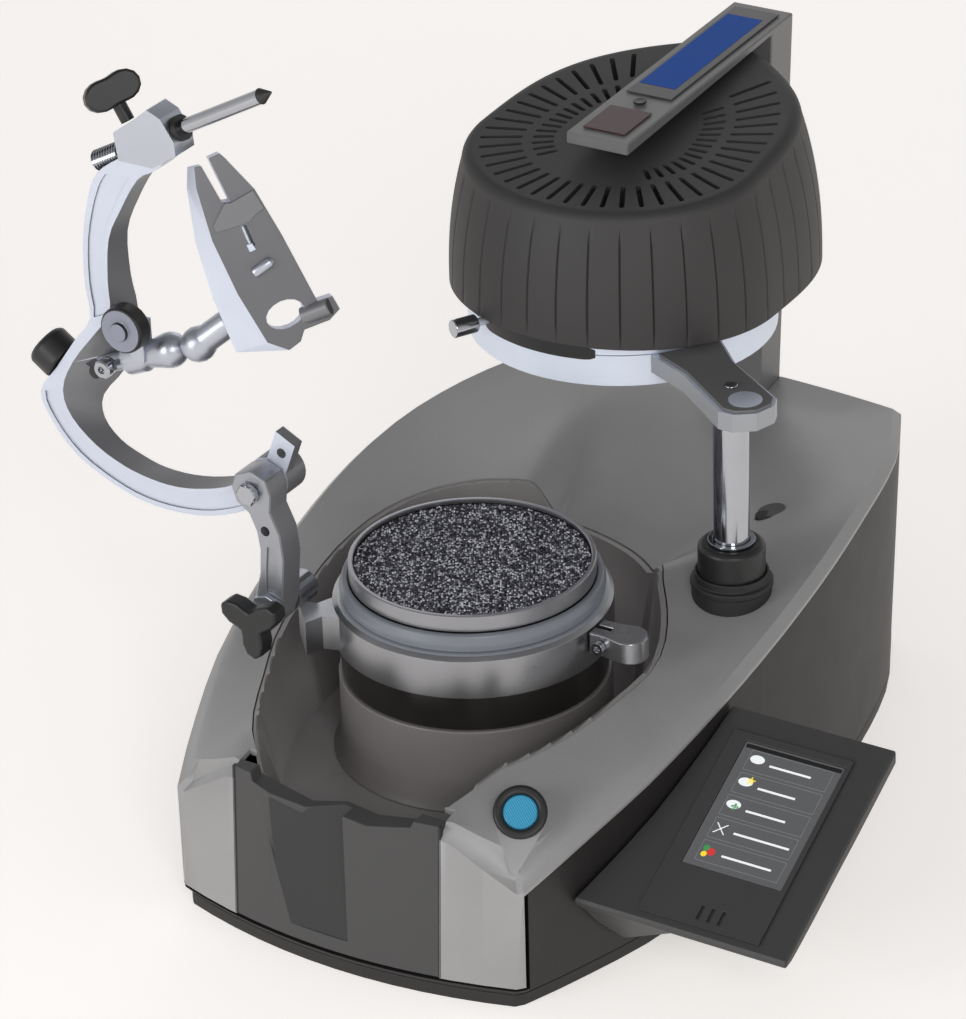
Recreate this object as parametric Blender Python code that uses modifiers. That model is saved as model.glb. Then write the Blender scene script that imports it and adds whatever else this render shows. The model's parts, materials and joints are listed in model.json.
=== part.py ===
"""Dental vacuum former: a boat-shaped housing with a granulate pot, a foil ring that
lifts and swings on a post, a heater on a tower, a touch console and a jaw holder.

Metres, +Z up. The origin is on the table, under the axis of the pot; +Y is the rear.
"""
import math

import bmesh
import bpy
from mathutils import Euler, Matrix, Vector

# Clearances and cutting
GAP = 0.0003
OVERRUN = 0.004
MERGE = 0.00005

# The film blank, whose size the rings, the pot, the tub and the housing follow
BLANK_RADIUS = 0.0602
LEDGE_WIDTH = 0.0052
RING_OPENING = BLANK_RADIUS - LEDGE_WIDTH
POT_CLEARANCE = 0.0030
GRANULATE_RADIUS = RING_OPENING - POT_CLEARANCE
POT_SHELL = 0.0070
POT_RADIUS = GRANULATE_RADIUS + POT_SHELL
FLANGE_WIDTH = 0.00275
FLANGE_RADIUS = POT_RADIUS + FLANGE_WIDTH
TUB_SPACE = 0.03825
TUB_RADIUS = FLANGE_RADIUS + TUB_SPACE

# Housing: overall sizes and the plan outline as shares of them
PROW = 0.011
BODY_FRONT = TUB_RADIUS + PROW
MACHINE_BAY = 0.150
BODY_REAR = TUB_RADIUS + MACHINE_BAY
DECK_WIDTH = 0.023
BODY_HALF_WIDTH = TUB_RADIUS + DECK_WIDTH
DECK_HEIGHT = 0.129
BOW = 0.0135
STERN = 0.006
FRONT_LEAN = 0.008
BASE_HEIGHT = 0.006
FLOOR_THICK = 0.003
WALL = 0.003
SHOULDER_DROP = 0.006
SHOULDER_INSET = 0.004
FRONT_SEAM = BASE_HEIGHT + FLOOR_THICK + 0.002
BASE_DRAFT = 0.003
CORNER_STEP_SHARES = (0.0000, 0.0008, 0.0050, 0.0058)
KERB_GAP = 0.0012
CORNER_REACH = 0.0075
# One row for each station: place along the housing, half-width, edge height, inner height
STATION_SHARES = (
    (0.000, 0.690, 0.473, 0.651), (0.010, 0.715, 0.485, 0.655), (0.100, 0.815, 0.590, 0.715),
    (0.210, 0.911, 0.698, 0.775), (0.385, 0.984, 0.837, 0.880), (0.551, 1.000, 0.946, 0.953),
    (0.695, 0.959, 1.000, 0.969), (0.870, 0.846, 1.000, 0.961), (1.000, 0.675, 0.969, 0.946))
SIDE_STEPS = 22
FRONT_STEPS = 7
REAR_STEPS = 12
CREASE_HALF_SHARE = 0.4634146
SCOOP_DEPTH = 0.006
# The ramp from the deck down into the tub's rear: directions from the pot's axis, in degrees
RAMP_DROP = 0.0165
RAMP_LENGTH = 0.120
RAMP_LEFT_DEG = (100.5, 108.4)
RAMP_RIGHT_DEG = (50.0, 66.0)
RAMP_POWER = 1.5
DECK_RINGS = 8
WING_INNER_SHARE = 0.4227642
WING_INNER = WING_INNER_SHARE * BODY_HALF_WIDTH

# Tub: rim radius round the pot at each angle from +X, as shares of TUB_RADIUS
TUB_RIM_SHARES = (
    (-90, 1.04), (-66, 1.13), (-54, 0.96), (-37, 0.86), (-13, 0.82), (8, 0.86), (30, 0.85),
    (44, 0.86), (52, 0.90), (66, 0.97), (90, 1.10), (104, 1.14), (117, 1.12), (130, 1.09),
    (145, 1.04), (160, 0.97), (177, 0.91), (197, 0.91), (216, 0.94), (234, 1.05), (246, 1.13),
    (270, 1.04))
TUB_FLOOR_SHARE = 0.90
TUB_FLOOR = 0.052
TUB_WALL = 0.0025
TUB_RIM_DROP = 0.0006
FRONT_CUT_DEPTH = 0.0270
INSERT_SETBACK = 0.0004
INSERT_THICK = 0.0025
INSERT_BACK = BODY_FRONT - INSERT_THICK
INSERT_DIP = 0.0100
RECESS_FOOT = 0.012
RECESS_DEPTH = 0.009
# The insert's upper edge, across as shares of its half-width and down as shares of its dip
NOTCH_SHARES = ((-0.80, 0.40), (-0.30, 1.00), (0.05, 0.50), (0.35, 0.70), (0.75, 0.30))
NOTCH_END_SHARES = (-0.84, 0.80)
RECESS_TOP_SHARES = (-0.80, 0.12)
RECESS_FOOT_SHARES = (-0.40, 0.16)
TUB_FRONT_SHARE = 0.88

# Granulate pot
POT_STAND = 0.014
POT_TOP = DECK_HEIGHT + POT_STAND
RIM_WALL = 0.0018
RIM_RISE = 0.0015
SEAL_WIDTH = 0.0042
SEAL_DROP = 0.0062
SEAL_TOP = POT_TOP - SEAL_DROP
FLANGE_DROP = 0.0147
FLANGE_TOP = POT_TOP - FLANGE_DROP
FLANGE_HEIGHT = 0.0198
POT_SKIRT = 0.0170
POT_SKIRT_BASE = FLANGE_TOP - FLANGE_HEIGHT - GAP - POT_SKIRT
POT_FLOOR_THICK = 0.0035
SEAT_LIP = 0.0015
SEAT_RADIUS = POT_RADIUS + SEAT_LIP
SEAT_FLARE = 0.0040
SEAT_WALL = 0.0085
SEAT_BORE = SEAT_RADIUS - SEAT_WALL
NOZZLE_RADIUS = 0.0080
NOZZLE_BORE = 0.0055
NOZZLE_LENGTH = 0.012
HANDLE_LENGTH = 0.02525
HANDLE_REACH = FLANGE_RADIUS + HANDLE_LENGTH
HANDLE_WIDTH = 0.017
HANDLE_THICK = 0.011
LUG_ANGLE = math.radians(222)
LUG_LENGTH = 0.01425
LUG_REACH = FLANGE_RADIUS + LUG_LENGTH
LUG_WIDTH = 0.020
SCREW_RADIUS = 0.0030
FILLING_FLAT_SHARE = 0.6
LUG_WAIST_SHARE = 0.62
HANDLE_ROOT_SHARE = 0.8
HANDLE_SLOT_SHARE = 0.8
HANDLE_STEPS = 8

# Foil ring, post and lift
POST_INSET = 0.031
POST_X = BODY_HALF_WIDTH - POST_INSET
POST_Y_SHARE = 0.67
POST_Y = TUB_RADIUS * POST_Y_SHARE
SWING = math.radians(72.1)
ROD_RADIUS = 0.008
COLLAR_RADIUS = 0.0150
COLLAR_RISE = 0.0145
COLLAR_TOP = DECK_HEIGHT + COLLAR_RISE
COLLAR_SINK = 0.0065
COLLAR_BASE = DECK_HEIGHT - COLLAR_SINK
RUBBER_RADIUS = 0.0184
RUBBER_HEIGHT = 0.007
RUBBER_STEP_SHARES = (0.4, 0.5)
WASHER_RADIUS = 0.0105
WASHER_HEIGHT = 0.0012
CYLINDER_RADIUS = 0.0140
CYLINDER_WALL = 0.0020
PISTON_HEIGHT = 0.010
RING_LIFT = 0.0738
RING_BOTTOM = DECK_HEIGHT + RING_LIFT
RING_HEIGHT = 0.0145
RING_WALL = 0.0098
RING_RADIUS = BLANK_RADIUS + RING_WALL
LEDGE_HEIGHT = 0.0040
LOCK_HEIGHT = 0.0042
LEVER_ANGLE = math.radians(-119)
LEVER_RADIUS = 0.0028
LEVER_REACH = 0.0115
LEVER_THICK_SHARE = 0.45
LEVER_KNOB_SHARE = 1.5
ARM_STEP = 0.0062
ARM_BOTTOM = RING_BOTTOM + ARM_STEP
ARM_PLATE = 0.0014
ARM_TIP = 0.0220
ARM_ROOT_HALF = 0.0170
ARM_TIP_HALF = 0.0140
ARM_PLATE_MARGIN = 0.0022
ARM_WAIST_SHARES = (0.35, 0.74)
ARM_END_SHARES = (0.40, 0.72, 0.25)
SCREW_HEAD_SHARES = (0.5, 0.3)
DIMPLE_RADIUS = 0.0060
DIMPLE_AWAY = 0.0120
REST_X = POST_X - math.hypot(POST_X, POST_Y) * math.cos(math.atan2(POST_Y, POST_X) - SWING)
REST_Y = POST_Y - math.hypot(POST_X, POST_Y) * math.sin(math.atan2(POST_Y, POST_X) - SWING)

# Heater tower and hood
TOWER_X = 0.0020
TOWER_WIDTH = 0.0310
TOWER_INSET = 0.0180
TOWER_FRONT = BODY_REAR - TOWER_INSET
TOWER_DEPTH = 0.0200
TOWER_LEAN = 0.0120
BAR_CLEARANCE = 0.0060
BAR_RISE = 0.0058
HOOD_CLEARANCE = 0.0062
HOOD_BOTTOM = RING_BOTTOM + RING_HEIGHT + HOOD_CLEARANCE
HOOD_FRONT_HEIGHT = 0.0591
HOOD_FRONT_TOP = HOOD_BOTTOM + HOOD_FRONT_HEIGHT
HOOD_REAR_RISE = 0.0184
HOOD_REAR_TOP = HOOD_FRONT_TOP + HOOD_REAR_RISE
TOWER_RISE = 0.0055
TOWER_TOP = HOOD_REAR_TOP + TOWER_RISE
HOOD_WALL = 0.0025
HEATER_SETBACK = 0.0030
HOOD_CENTRE_Y = 2 * POST_Y + HEATER_SETBACK
HOOD_WIDEST_BEFORE = 0.0105
HOOD_WIDEST_Y = HOOD_CENTRE_Y - HOOD_WIDEST_BEFORE
HOOD_SIDE_SPACE = 0.0085
HOOD_HALF_WIDTH = RING_RADIUS + HOOD_SIDE_SPACE
HOOD_FRONT_SPACE = 0.0080
HOOD_FRONT = HOOD_CENTRE_Y - RING_RADIUS - HOOD_FRONT_SPACE
BAR_SETBACK = 0.0510
BAR_FRONT = HOOD_FRONT + BAR_SETBACK
HOOD_TAIL_POWER = 3.4
HOOD_REAR_GAP = 0.0003
HOOD_STEPS = 10
HOOD_TAPER = 0.0085
HOOD_SHOULDER = 0.0140
HOOD_BRIM_SHARE = 0.42
HOOD_TAIL_SHARE = 0.62
# How far in and how high the side's two middle rings are, and how far in the shoulder is
HOOD_SIDE_SHARES = ((0.12, 0.35), (0.45, 0.70))
HOOD_SHOULDER_SHARE = 0.85
HOOD_ROUND_SHARE = 0.34
HOOD_CROWN_SHARE = 0.70
SLOT_COUNT = 46
SLOT_WIDTH = 0.0023
SLOT_MARGIN = 0.0010
SLOT_ROW_SHARES = ((0.31, 0.42), (0.48, 0.63), (0.69, 0.98))
HEATER_SPARE = 0.0010
HEATER_RADIUS = RING_OPENING + HEATER_SPARE
HEATER_THICK = 0.0060
HEATER_RISE = 0.0165
HEATER_BOTTOM = HOOD_BOTTOM + HEATER_RISE
REFLECTOR_THICK = 0.0012

# Details on the tower's bar, in a line along it
BAR_DETAIL_THICK = 0.0006
INLAY_WIDTH = 0.0230
INLAY_SPAN_SHARES = (0.30, 0.96)
WINDOW_WIDTH = 0.0210
WINDOW_SPAN_SHARES = (0.04, 0.20)
EYE_RADIUS = 0.0022
EYE_SPAN_SHARE = 0.25
PLUG_INSET, PLUG_BACK = 0.0175, 0.0630
PLUG_X, PLUG_Y = POST_X - PLUG_INSET, POST_Y + PLUG_BACK
PLUG_RADIUS = 0.0043

# Console with the screen
CONSOLE_TOP_SHARE = 0.7364341
CONSOLE_TOP = DECK_HEIGHT * CONSOLE_TOP_SHARE
CONSOLE_REAR = 0.0160
CONSOLE_FRONT = -0.0835
CONSOLE_WIDTH = 0.0760
CONSOLE_RIGHT = BODY_HALF_WIDTH + CONSOLE_WIDTH
CONSOLE_SLOPE = 0.5
# One row for each section from the front: place, then the thickness at the left and right
CONSOLE_THICK = 0.0550
CONSOLE_SHARES = (
    (0.00, 0.04, 0.06), (0.05, 0.18, 0.09), (0.12, 0.42, 0.10), (0.26, 0.82, 0.11), (0.45, 0.92, 0.11),
    (0.63, 0.96, 0.12), (0.82, 0.98, 0.12), (1.00, 1.00, 0.12))
PANEL_LEFT_MARGIN, PANEL_RIGHT_MARGIN = 0.0040, 0.0145
PANEL_LEFT, PANEL_RIGHT = BODY_HALF_WIDTH + PANEL_LEFT_MARGIN, CONSOLE_RIGHT - PANEL_RIGHT_MARGIN
PANEL_REAR_MARGIN, PANEL_FRONT_MARGIN = 0.0105, 0.0035
PANEL_REAR, PANEL_FRONT = CONSOLE_REAR - PANEL_REAR_MARGIN, CONSOLE_FRONT + PANEL_FRONT_MARGIN
PANEL_THICK = 0.0009
SCREEN_WIDTH = 0.0470
SCREEN_LENGTH = 0.0640
SCREEN_FROM_RIGHT, SCREEN_FROM_REAR = 0.0260, 0.0325
SCREEN_X, SCREEN_Y = PANEL_RIGHT - SCREEN_FROM_RIGHT, PANEL_REAR - SCREEN_FROM_REAR
VENT_FROM_RIGHT, VENT_FROM_FRONT = 0.0255, 0.0060
VENT_X, VENT_Y = PANEL_RIGHT - VENT_FROM_RIGHT, PANEL_FRONT + VENT_FROM_FRONT
VENT_STEP = 0.0050
VENT_WIDTH = 0.0016
VENT_LENGTH = 0.0070

# Start button, which looks out of the right-hand wing
BUTTON_X_SHARE, BUTTON_Y_SHARE, BUTTON_Z_SHARE = 0.6243902, 0.8108108, 0.6612403
BUTTON_X = BODY_HALF_WIDTH * BUTTON_X_SHARE
BUTTON_Y = -BODY_FRONT * BUTTON_Y_SHARE
BUTTON_Z = DECK_HEIGHT * BUTTON_Z_SHARE
BUTTON_FACING_SHARES = (0.36, -0.65, 0.67)
BUTTON_TRAVEL = 0.0015
BUTTON_RADIUS = 0.0073
BUTTON_FLANGE = 0.0088
BUTTON_HEIGHT = 0.0052
BEZEL_RADIUS = 0.0116
BEZEL_HEIGHT = 0.0022
BOSS_RADIUS = 0.0119
BOSS_DEPTH = 0.0160
BOSS_TIP_BESIDE, BOSS_TIP_BEFORE, BOSS_TIP_BELOW = 0.0057, 0.0155, 0.0185
BOSS_TIP_X, BOSS_TIP_Y = BUTTON_X + BOSS_TIP_BESIDE, BUTTON_Y - BOSS_TIP_BEFORE
BOSS_TIP_Z = BUTTON_Z - BOSS_TIP_BELOW
SWITCH_RADIUS = 0.0040
BEZEL_STEP_SHARE = 0.6

# Jaw holder: places in its upright plane are shares of JAW_SPAN from the pot's axis and top
JAW_SPAN_SHARE = 1.3157895
JAW_SPAN = LUG_REACH * JAW_SPAN_SHARE
LINK_FRONT_SHARE, ARM_FRONT_SHARE, ARM_REAR_SHARE = 0.64, 0.50, 0.36
LINK_FRONT = -JAW_SPAN * LINK_FRONT_SHARE
ARM_FRONT = -JAW_SPAN * ARM_FRONT_SHARE
ARM_REAR = -JAW_SPAN * ARM_REAR_SHARE
JAW_BASE_SHARES = (-0.639, -0.113)
JAW_HINGE_SHARES = (-0.704, 0.450)
KNUCKLE_RADIUS = 0.0100
BASE_KNUCKLE_RADIUS = 0.0070
FINGER_DEPTH_SHARE = 3 / 7
KNOB_TURN = math.radians(-35)
HINGE_PIN_RADIUS = 0.0030
HINGE_HEAD_RADIUS = 0.0048
HINGE_HEAD_HEIGHT = 0.0035
LINK_SHARES = (
    (-0.660, -0.192), (-0.605, -0.180), (-0.572, -0.080), (-0.563, 0.030), (-0.552, 0.150),
    (-0.565, 0.270), (-0.610, 0.370), (-0.602, 0.450), (-0.625, 0.518), (-0.704, 0.550),
    (-0.783, 0.518), (-0.804, 0.450), (-0.783, 0.385), (-0.720, 0.340), (-0.686, 0.260),
    (-0.674, 0.178), (-0.682, 0.060), (-0.708, -0.040), (-0.720, -0.130))
LINK_CHANNEL_SHARES = (
    (-0.650, -0.020), (-0.612, -0.015), (-0.590, 0.090), (-0.597, 0.200), (-0.634, 0.200),
    (-0.645, 0.090))
LINK_HOLE_SHARES = (-0.640, 0.275)
FINGER_SHARES = ((-0.640, 0.440), (-0.605, 0.520), (-0.560, 0.640), (-0.655, 0.690), (-0.715, 0.530))
FINGER_HOLE_SHARES = (-0.632, 0.590)
# One row for each section of the arm: outer edge, front inner edge, rear inner edge
ARM_SHARES = (
    (-0.720, 0.360, -0.780, 0.470, -0.780, 0.470), (-0.823, 0.268, -0.900, 0.369, -0.900, 0.369),
    (-1.009, 0.189, -1.040, 0.315, -1.040, 0.315), (-1.194, 0.159, -1.195, 0.285, -1.195, 0.285),
    (-1.380, 0.165, -1.340, 0.290, -1.350, 0.285), (-1.550, 0.215, -1.480, 0.320, -1.470, 0.315),
    (-1.738, 0.314, -1.621, 0.385, -1.585, 0.365), (-1.860, 0.455, -1.745, 0.495, -1.665, 0.455),
    (-1.908, 0.587, -1.785, 0.620, -1.660, 0.570), (-1.810, 0.725, -1.720, 0.770, -1.530, 0.730),
    (-1.700, 0.880, -1.585, 0.940, -1.470, 0.880), (-1.605, 1.010, -1.495, 1.060, -1.440, 1.050),
    (-1.618, 1.180, -1.493, 1.210, -1.465, 1.200), (-1.609, 1.385, -1.471, 1.415, -1.465, 1.405),
    (-1.563, 1.600, -1.395, 1.570, -1.395, 1.570), (-1.505, 1.720, -1.295, 1.730, -1.295, 1.730),
    (-1.400, 1.800, -1.200, 1.790, -1.200, 1.790), (-1.280, 1.870, -1.110, 1.880, -1.110, 1.880))
ARM_STEPS = 3
ARM_SKIN = 0.0004
HOLE_RADIUS = 0.0023
CHANNEL_DEPTH = 0.0008
CHANNEL_EDGE_SHARE = 0.20
CHANNEL_ROWS = ((1, 8), (11, 15))
CLAMP_SHARES = (
    (-1.210, 1.800), (-1.085, 1.880), (-1.090, 1.940), (-1.155, 2.037), (-1.220, 2.065),
    (-1.301, 1.998), (-1.404, 1.926), (-1.385, 1.800))
PIN_START_SHARES = (-1.550, 1.740)
PIN_RISE = math.radians(28.2)
PIN_LENGTH = 0.1050
PIN_THREAD = 0.0160
PIN_THREAD_RADIUS = 0.0048
PIN_SLEEVE_RADIUS = 0.0043
PIN_SLEEVE_END = 0.0500
PIN_COLLAR_RADIUS = 0.0056
PIN_RADIUS = 0.0033
PIN_CONE = 0.0062
WING_REACH = 0.0165
WING_HUB = 0.0062
WING_THICK = 0.0090
WING_POWER = 1.1
TOP_WING_REACH_SHARE = 0.78
CLAMP_PLATE_SHARES = (
    (-0.690, -0.270), (-0.560, -0.130), (-0.575, -0.050), (-0.639, -0.030), (-0.705, -0.055),
    (-0.725, -0.120))
CLAMP_PLATE_THICK = 0.0025
TOP_KNOB_SHARES = (-1.367, 1.952)
TOP_KNOB_LEAN = math.radians(-31)
TOP_KNOB_TURN = math.radians(50)
TOP_STEM = 0.0090
REAR_KNOB_SHARES = (-1.8157, 0.7290)
REAR_KNOB_RADIUS = 0.0100
REAR_KNOB_HEIGHT = 0.0120
ROUND_KNOB_SHARES = (-1.361, 1.050)
ROUND_KNOB_RADIUS = 0.0107
ROUND_KNOB_HUB_SHARE = 0.4
ROUND_KNOB_SPACE, ROUND_KNOB_THICK = 0.0030, 0.0080
ROUND_KNOB_REAR = ARM_FRONT - ROUND_KNOB_SPACE
ROUND_KNOB_FRONT = ROUND_KNOB_REAR - ROUND_KNOB_THICK
SWIVEL_START_SHARES = (-1.575, 0.771)
SWIVEL_RISE = math.radians(22.7)
SWIVEL_STEM_RADIUS = 0.0042
SWIVEL_LENGTH = 0.0375
SWIVEL_COLLAR_SHARES = (1.7, 1.36)
SWIVEL_PLACE_SHARES = (0.66, 0.60, 0.36, 0.33)
BALL_RADIUS = 0.0080
STEM_RADIUS = 0.0062
STEM_LENGTH = 0.0190
NECK_RADIUS = 0.0036
NECK_BALL_SHARE = 1.25
STEM_FOOT_SHARE = 0.7
PLATE_CENTRE_SHARES = (-0.820, 1.430)
PLATE_CENTRE_SHARE = 0.40
PLATE_CENTRE_Y = -JAW_SPAN * PLATE_CENTRE_SHARE
PLATE_LONG_SHARES = (-0.4108, 0.0, 0.9117)
PLATE_FACE_SHARES = (0.6585, -0.6917, 0.2966)
PLATE_THICK = 0.0090
# How far the plate's left edge spreads at its back, at its upper and its lower end
PLATE_FLARE_TOP, PLATE_FLARE_FOOT = 0.0020, 0.0135
PLATE_FLARE_FROM_SHARE = -0.050
PLATE_SHARES = (
    (-0.065, -0.360), (0.009, -0.429), (0.068, -0.414), (0.100, -0.375), (0.217, -0.381),
    (0.275, -0.355), (0.267, -0.289), (0.199, -0.282), (0.171, 0.035), (0.140, 0.265),
    (0.080, 0.425), (0.064, 0.460), (0.013, 0.459), (0.024, 0.259), (-0.008, 0.268),
    (-0.028, 0.441), (-0.058, 0.450), (-0.085, 0.364), (-0.110, 0.138), (-0.100, -0.115))
PLATE_OVAL_SHARES = (0.052, -0.280)
PLATE_OVAL_REACH = 0.0085
PLATE_OVAL_RADIUS = 0.0058
PLATE_SLOT_SHARES = (0.036, 0.090)
PLATE_SLOT_LENGTH = 0.0100
PLATE_SLOT_WIDTH = 0.0026

# Pieces inside the housing
BAY_FLOOR = BASE_HEIGHT + FLOOR_THICK + 2 * GAP
PUMP_X, PUMP_FRONT, PUMP_REAR, PUMP_RADIUS = -0.035, 0.130, 0.180, 0.025
MOTOR_REAR, MOTOR_RADIUS = 0.214, 0.019
BOARD_LEFT, BOARD_RIGHT, BOARD_FRONT, BOARD_REAR, BOARD_THICK = 0.022, 0.086, 0.135, 0.215, 0.0016
SUPPLY_HALF, SUPPLY_FRONT, SUPPLY_REAR, SUPPLY_HEIGHT = 0.045, -0.080, -0.035, 0.032
HOSE_RADIUS = 0.0072
HOSE_BEND_Z = 0.0300
HOSE_STEPS = 4
INLET_X, INLET_HALF, INLET_LOW, INLET_HIGH = -0.045, 0.0140, 0.030, 0.050
INLET_DEPTH = 0.026
INLET_SOCKET = 0.012
HOSE_END_SHARE = 0.8
INLET_REAR_SHARE = 0.7
CARRIER_HALF = 0.012


def clear_scene():
    for item in list(bpy.data.objects):
        bpy.data.objects.remove(item, do_unlink=True)


clear_scene()
FOLLOWERS = []
PARTS = bpy.data.collections.new("dental_vacuum_former")
CUTTERS = bpy.data.collections.new("cutters")
bpy.context.scene.collection.children.link(PARTS)
bpy.context.scene.collection.children.link(CUTTERS)


def finish(name, colour, roughness, metallic):
    material = bpy.data.materials.new(name)
    material.use_nodes = True
    shader = material.node_tree.nodes["Principled BSDF"]
    shader.inputs["Base Color"].default_value = (*colour, 1.0)
    shader.inputs["Roughness"].default_value = roughness
    shader.inputs["Metallic"].default_value = metallic
    return material


FINISHES = {
    "deck": ((0.30, 0.30, 0.30), 0.45, 0.4),
    "dark_case": ((0.045, 0.042, 0.042), 0.55, 0.0),
    "tub": ((0.12, 0.11, 0.105), 0.60, 0.0),
    "hood": ((0.050, 0.048, 0.047), 0.65, 0.0),
    "alloy": ((0.62, 0.64, 0.70), 0.32, 0.9),
    "dark_steel": ((0.16, 0.15, 0.15), 0.22, 0.9),
    "chrome": ((0.75, 0.75, 0.77), 0.10, 1.0),
    "black": ((0.015, 0.015, 0.016), 0.45, 0.0),
    "seal": ((0.52, 0.56, 0.62), 0.50, 0.0),
    "granulate": ((0.20, 0.20, 0.22), 0.40, 0.6),
    "lens": ((0.05, 0.45, 0.70), 0.25, 0.0),
    "screen": ((0.06, 0.06, 0.07), 0.15, 0.0),
    "window": ((0.12, 0.01, 0.015), 0.20, 0.0),
    "inlay": ((0.06, 0.06, 0.06), 0.45, 0.0),
    "board": ((0.02, 0.15, 0.06), 0.50, 0.0),
    "ceramic": ((0.75, 0.72, 0.66), 0.70, 0.0),
}


def place(name, mesh, look, origin=(0.0, 0.0, 0.0), rotation=None):
    """Add a mesh, given about its own origin, to the parts."""
    item = bpy.data.objects.new(name, mesh)
    item.location = origin
    if rotation is not None:
        item.rotation_euler = rotation
    PARTS.objects.link(item)
    mesh.materials.clear()
    mesh.materials.append(finish(name, *FINISHES[look]))
    return item


def cutter(name, mesh, origin=(0.0, 0.0, 0.0), rotation=None):
    item = bpy.data.objects.new(name, mesh)
    item.location = origin
    if rotation is not None:
        item.rotation_euler = rotation
    item.hide_render = True
    item.display_type = "WIRE"
    CUTTERS.objects.link(item)
    return item


def boolean(item, other, operation="DIFFERENCE"):
    step = item.modifiers.new(operation.lower(), "BOOLEAN")
    step.operation = operation
    step.solver = "EXACT"
    step.object = other
    FOLLOWERS.append((other, item))
    return item


def bevel(item, width, segments=2, angle=math.radians(40)):
    step = item.modifiers.new("edges", "BEVEL")
    step.width = width
    step.segments = segments
    step.limit_method = "ANGLE"
    step.angle_limit = angle
    return item


def to_mesh(name, form):
    mesh = bpy.data.meshes.new(name)
    form.to_mesh(mesh)
    form.free()
    return mesh


def loft(name, rings, closed=False):
    """Join rings with the same number of points; cap the ends, or close the loop."""
    form = bmesh.new()
    rows = [[form.verts.new(point) for point in ring] for ring in rings]
    count = len(rows[0])
    pairs = list(zip(rows, rows[1:]))
    if closed:
        pairs.append((rows[-1], rows[0]))
    for low, high in pairs:
        for index in range(count):
            after = (index + 1) % count
            form.faces.new((low[index], low[after], high[after], high[index]))
    if not closed:
        form.faces.new(list(reversed(rows[0])))
        form.faces.new(rows[-1])
    bmesh.ops.recalc_face_normals(form, faces=form.faces)
    return to_mesh(name, form)


def box(name, low, high):
    form = bmesh.new()
    low, high = Vector(low), Vector(high)
    middle = (low + high) / 2
    size = high - low
    bmesh.ops.create_cube(form, size=1.0, matrix=Matrix.Translation(middle) @ Matrix.Diagonal((*size, 1.0)))
    return to_mesh(name, form)


def drum(name, radius, low, high, centre=(0.0, 0.0), segments=24, axis="Z"):
    """A plain round solid between two places along its axis."""
    form = bmesh.new()
    turn = {"Z": Matrix(), "Y": Matrix.Rotation(math.radians(-90), 4, "X"),
            "X": Matrix.Rotation(math.radians(90), 4, "Y")}[axis]
    lift = Matrix.Translation((0.0, 0.0, (low + high) / 2))
    bmesh.ops.create_cone(form, cap_ends=True, segments=segments, radius1=radius, radius2=radius,
                          depth=high - low, matrix=turn @ lift)
    shift = {"Z": (centre[0], centre[1], 0.0), "Y": (centre[0], 0.0, centre[1]),
             "X": (0.0, centre[0], centre[1])}[axis]
    bmesh.ops.translate(form, verts=form.verts, vec=shift)
    return to_mesh(name, form)


def ring_loop(name, profile, look, centre=(0.0, 0.0, 0.0), segments=48, rotation=None):
    """Turn a closed profile of (radius, height) about the local Z axis."""
    form = bmesh.new()
    shifted = profile[1:] + profile[:1]
    area = sum(first[0] * second[1] - second[0] * first[1] for first, second in zip(profile, shifted))
    if area > 0:
        profile = list(reversed(profile))
    points = [form.verts.new((radius, 0.0, height)) for radius, height in profile]
    for first, second in zip(points, points[1:] + points[:1]):
        form.edges.new((first, second))
    item = place(name, to_mesh(name, form), look, centre, rotation)
    return screw(item, segments)


def turned(name, profile, look, centre=(0.0, 0.0, 0.0), segments=32, rotation=None):
    """Turn an open profile, from the top of the axis to its bottom, about local Z."""
    form = bmesh.new()
    points = [form.verts.new((radius, 0.0, height)) for radius, height in profile]
    for first, second in zip(points, points[1:]):
        form.edges.new((first, second))
    item = place(name, to_mesh(name, form), look, centre, rotation)
    return screw(item, segments)


def screw(item, segments):
    step = item.modifiers.new("turn", "SCREW")
    step.steps = segments
    step.render_steps = segments
    step.use_merge_vertices = True
    step.merge_threshold = MERGE
    step.use_smooth_shade = True
    return item


def prism(name, outline, low, high):
    """An upright solid with a flat outline of (x, y) points, anticlockwise."""
    rings = [[(x, y, height) for x, y in outline] for height in (low, high)]
    return loft(name, rings)


def slab(name, outline, front, rear):
    """A solid with an outline of (x, z) points, between two places along Y."""
    rings = [[(x, along, z) for x, z in outline] for along in (front, rear)]
    return loft(name, rings)


def side_slab(name, outline, left, right):
    """A solid with an outline of (y, z) points, between two places along X."""
    rings = [[(along, y, z) for y, z in outline] for along in (left, right)]
    return loft(name, rings)


def smooth(table, place_share):
    """Read a table of rows (place, value, value...) with a smooth curve between its rows."""
    places = [row[0] for row in table]
    index = 0
    while index < len(table) - 2 and place_share > places[index + 1]:
        index += 1
    span = places[index + 1] - places[index]
    share = min(max((place_share - places[index]) / span, 0.0), 1.0)
    values = []
    for column in range(1, len(table[0])):
        here, after = table[index][column], table[index + 1][column]
        slope_in = slope(table, index, column) * span
        slope_out = slope(table, index + 1, column) * span
        cube, square = share ** 3, share ** 2
        values.append((2 * cube - 3 * square + 1) * here + (cube - 2 * square + share) * slope_in
                      + (3 * square - 2 * cube) * after + (cube - square) * slope_out)
    return values


def slope(table, index, column):
    before = table[max(index - 1, 0)]
    after = table[min(index + 1, len(table) - 1)]
    return (after[column] - before[column]) / (after[0] - before[0])


# Housing surfaces

def station(y):
    length = BODY_FRONT + BODY_REAR
    half, edge, inner = smooth(STATION_SHARES, (y + BODY_FRONT) / length)
    return half * BODY_HALF_WIDTH, edge * DECK_HEIGHT, inner * DECK_HEIGHT


def front_y(x, height):
    corner = STATION_SHARES[0][1] * BODY_HALF_WIDTH
    bulge = BOW * (1 - (x / corner) ** 2)
    return -BODY_FRONT - bulge + FRONT_LEAN * (height - BASE_HEIGHT) / DECK_HEIGHT


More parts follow.
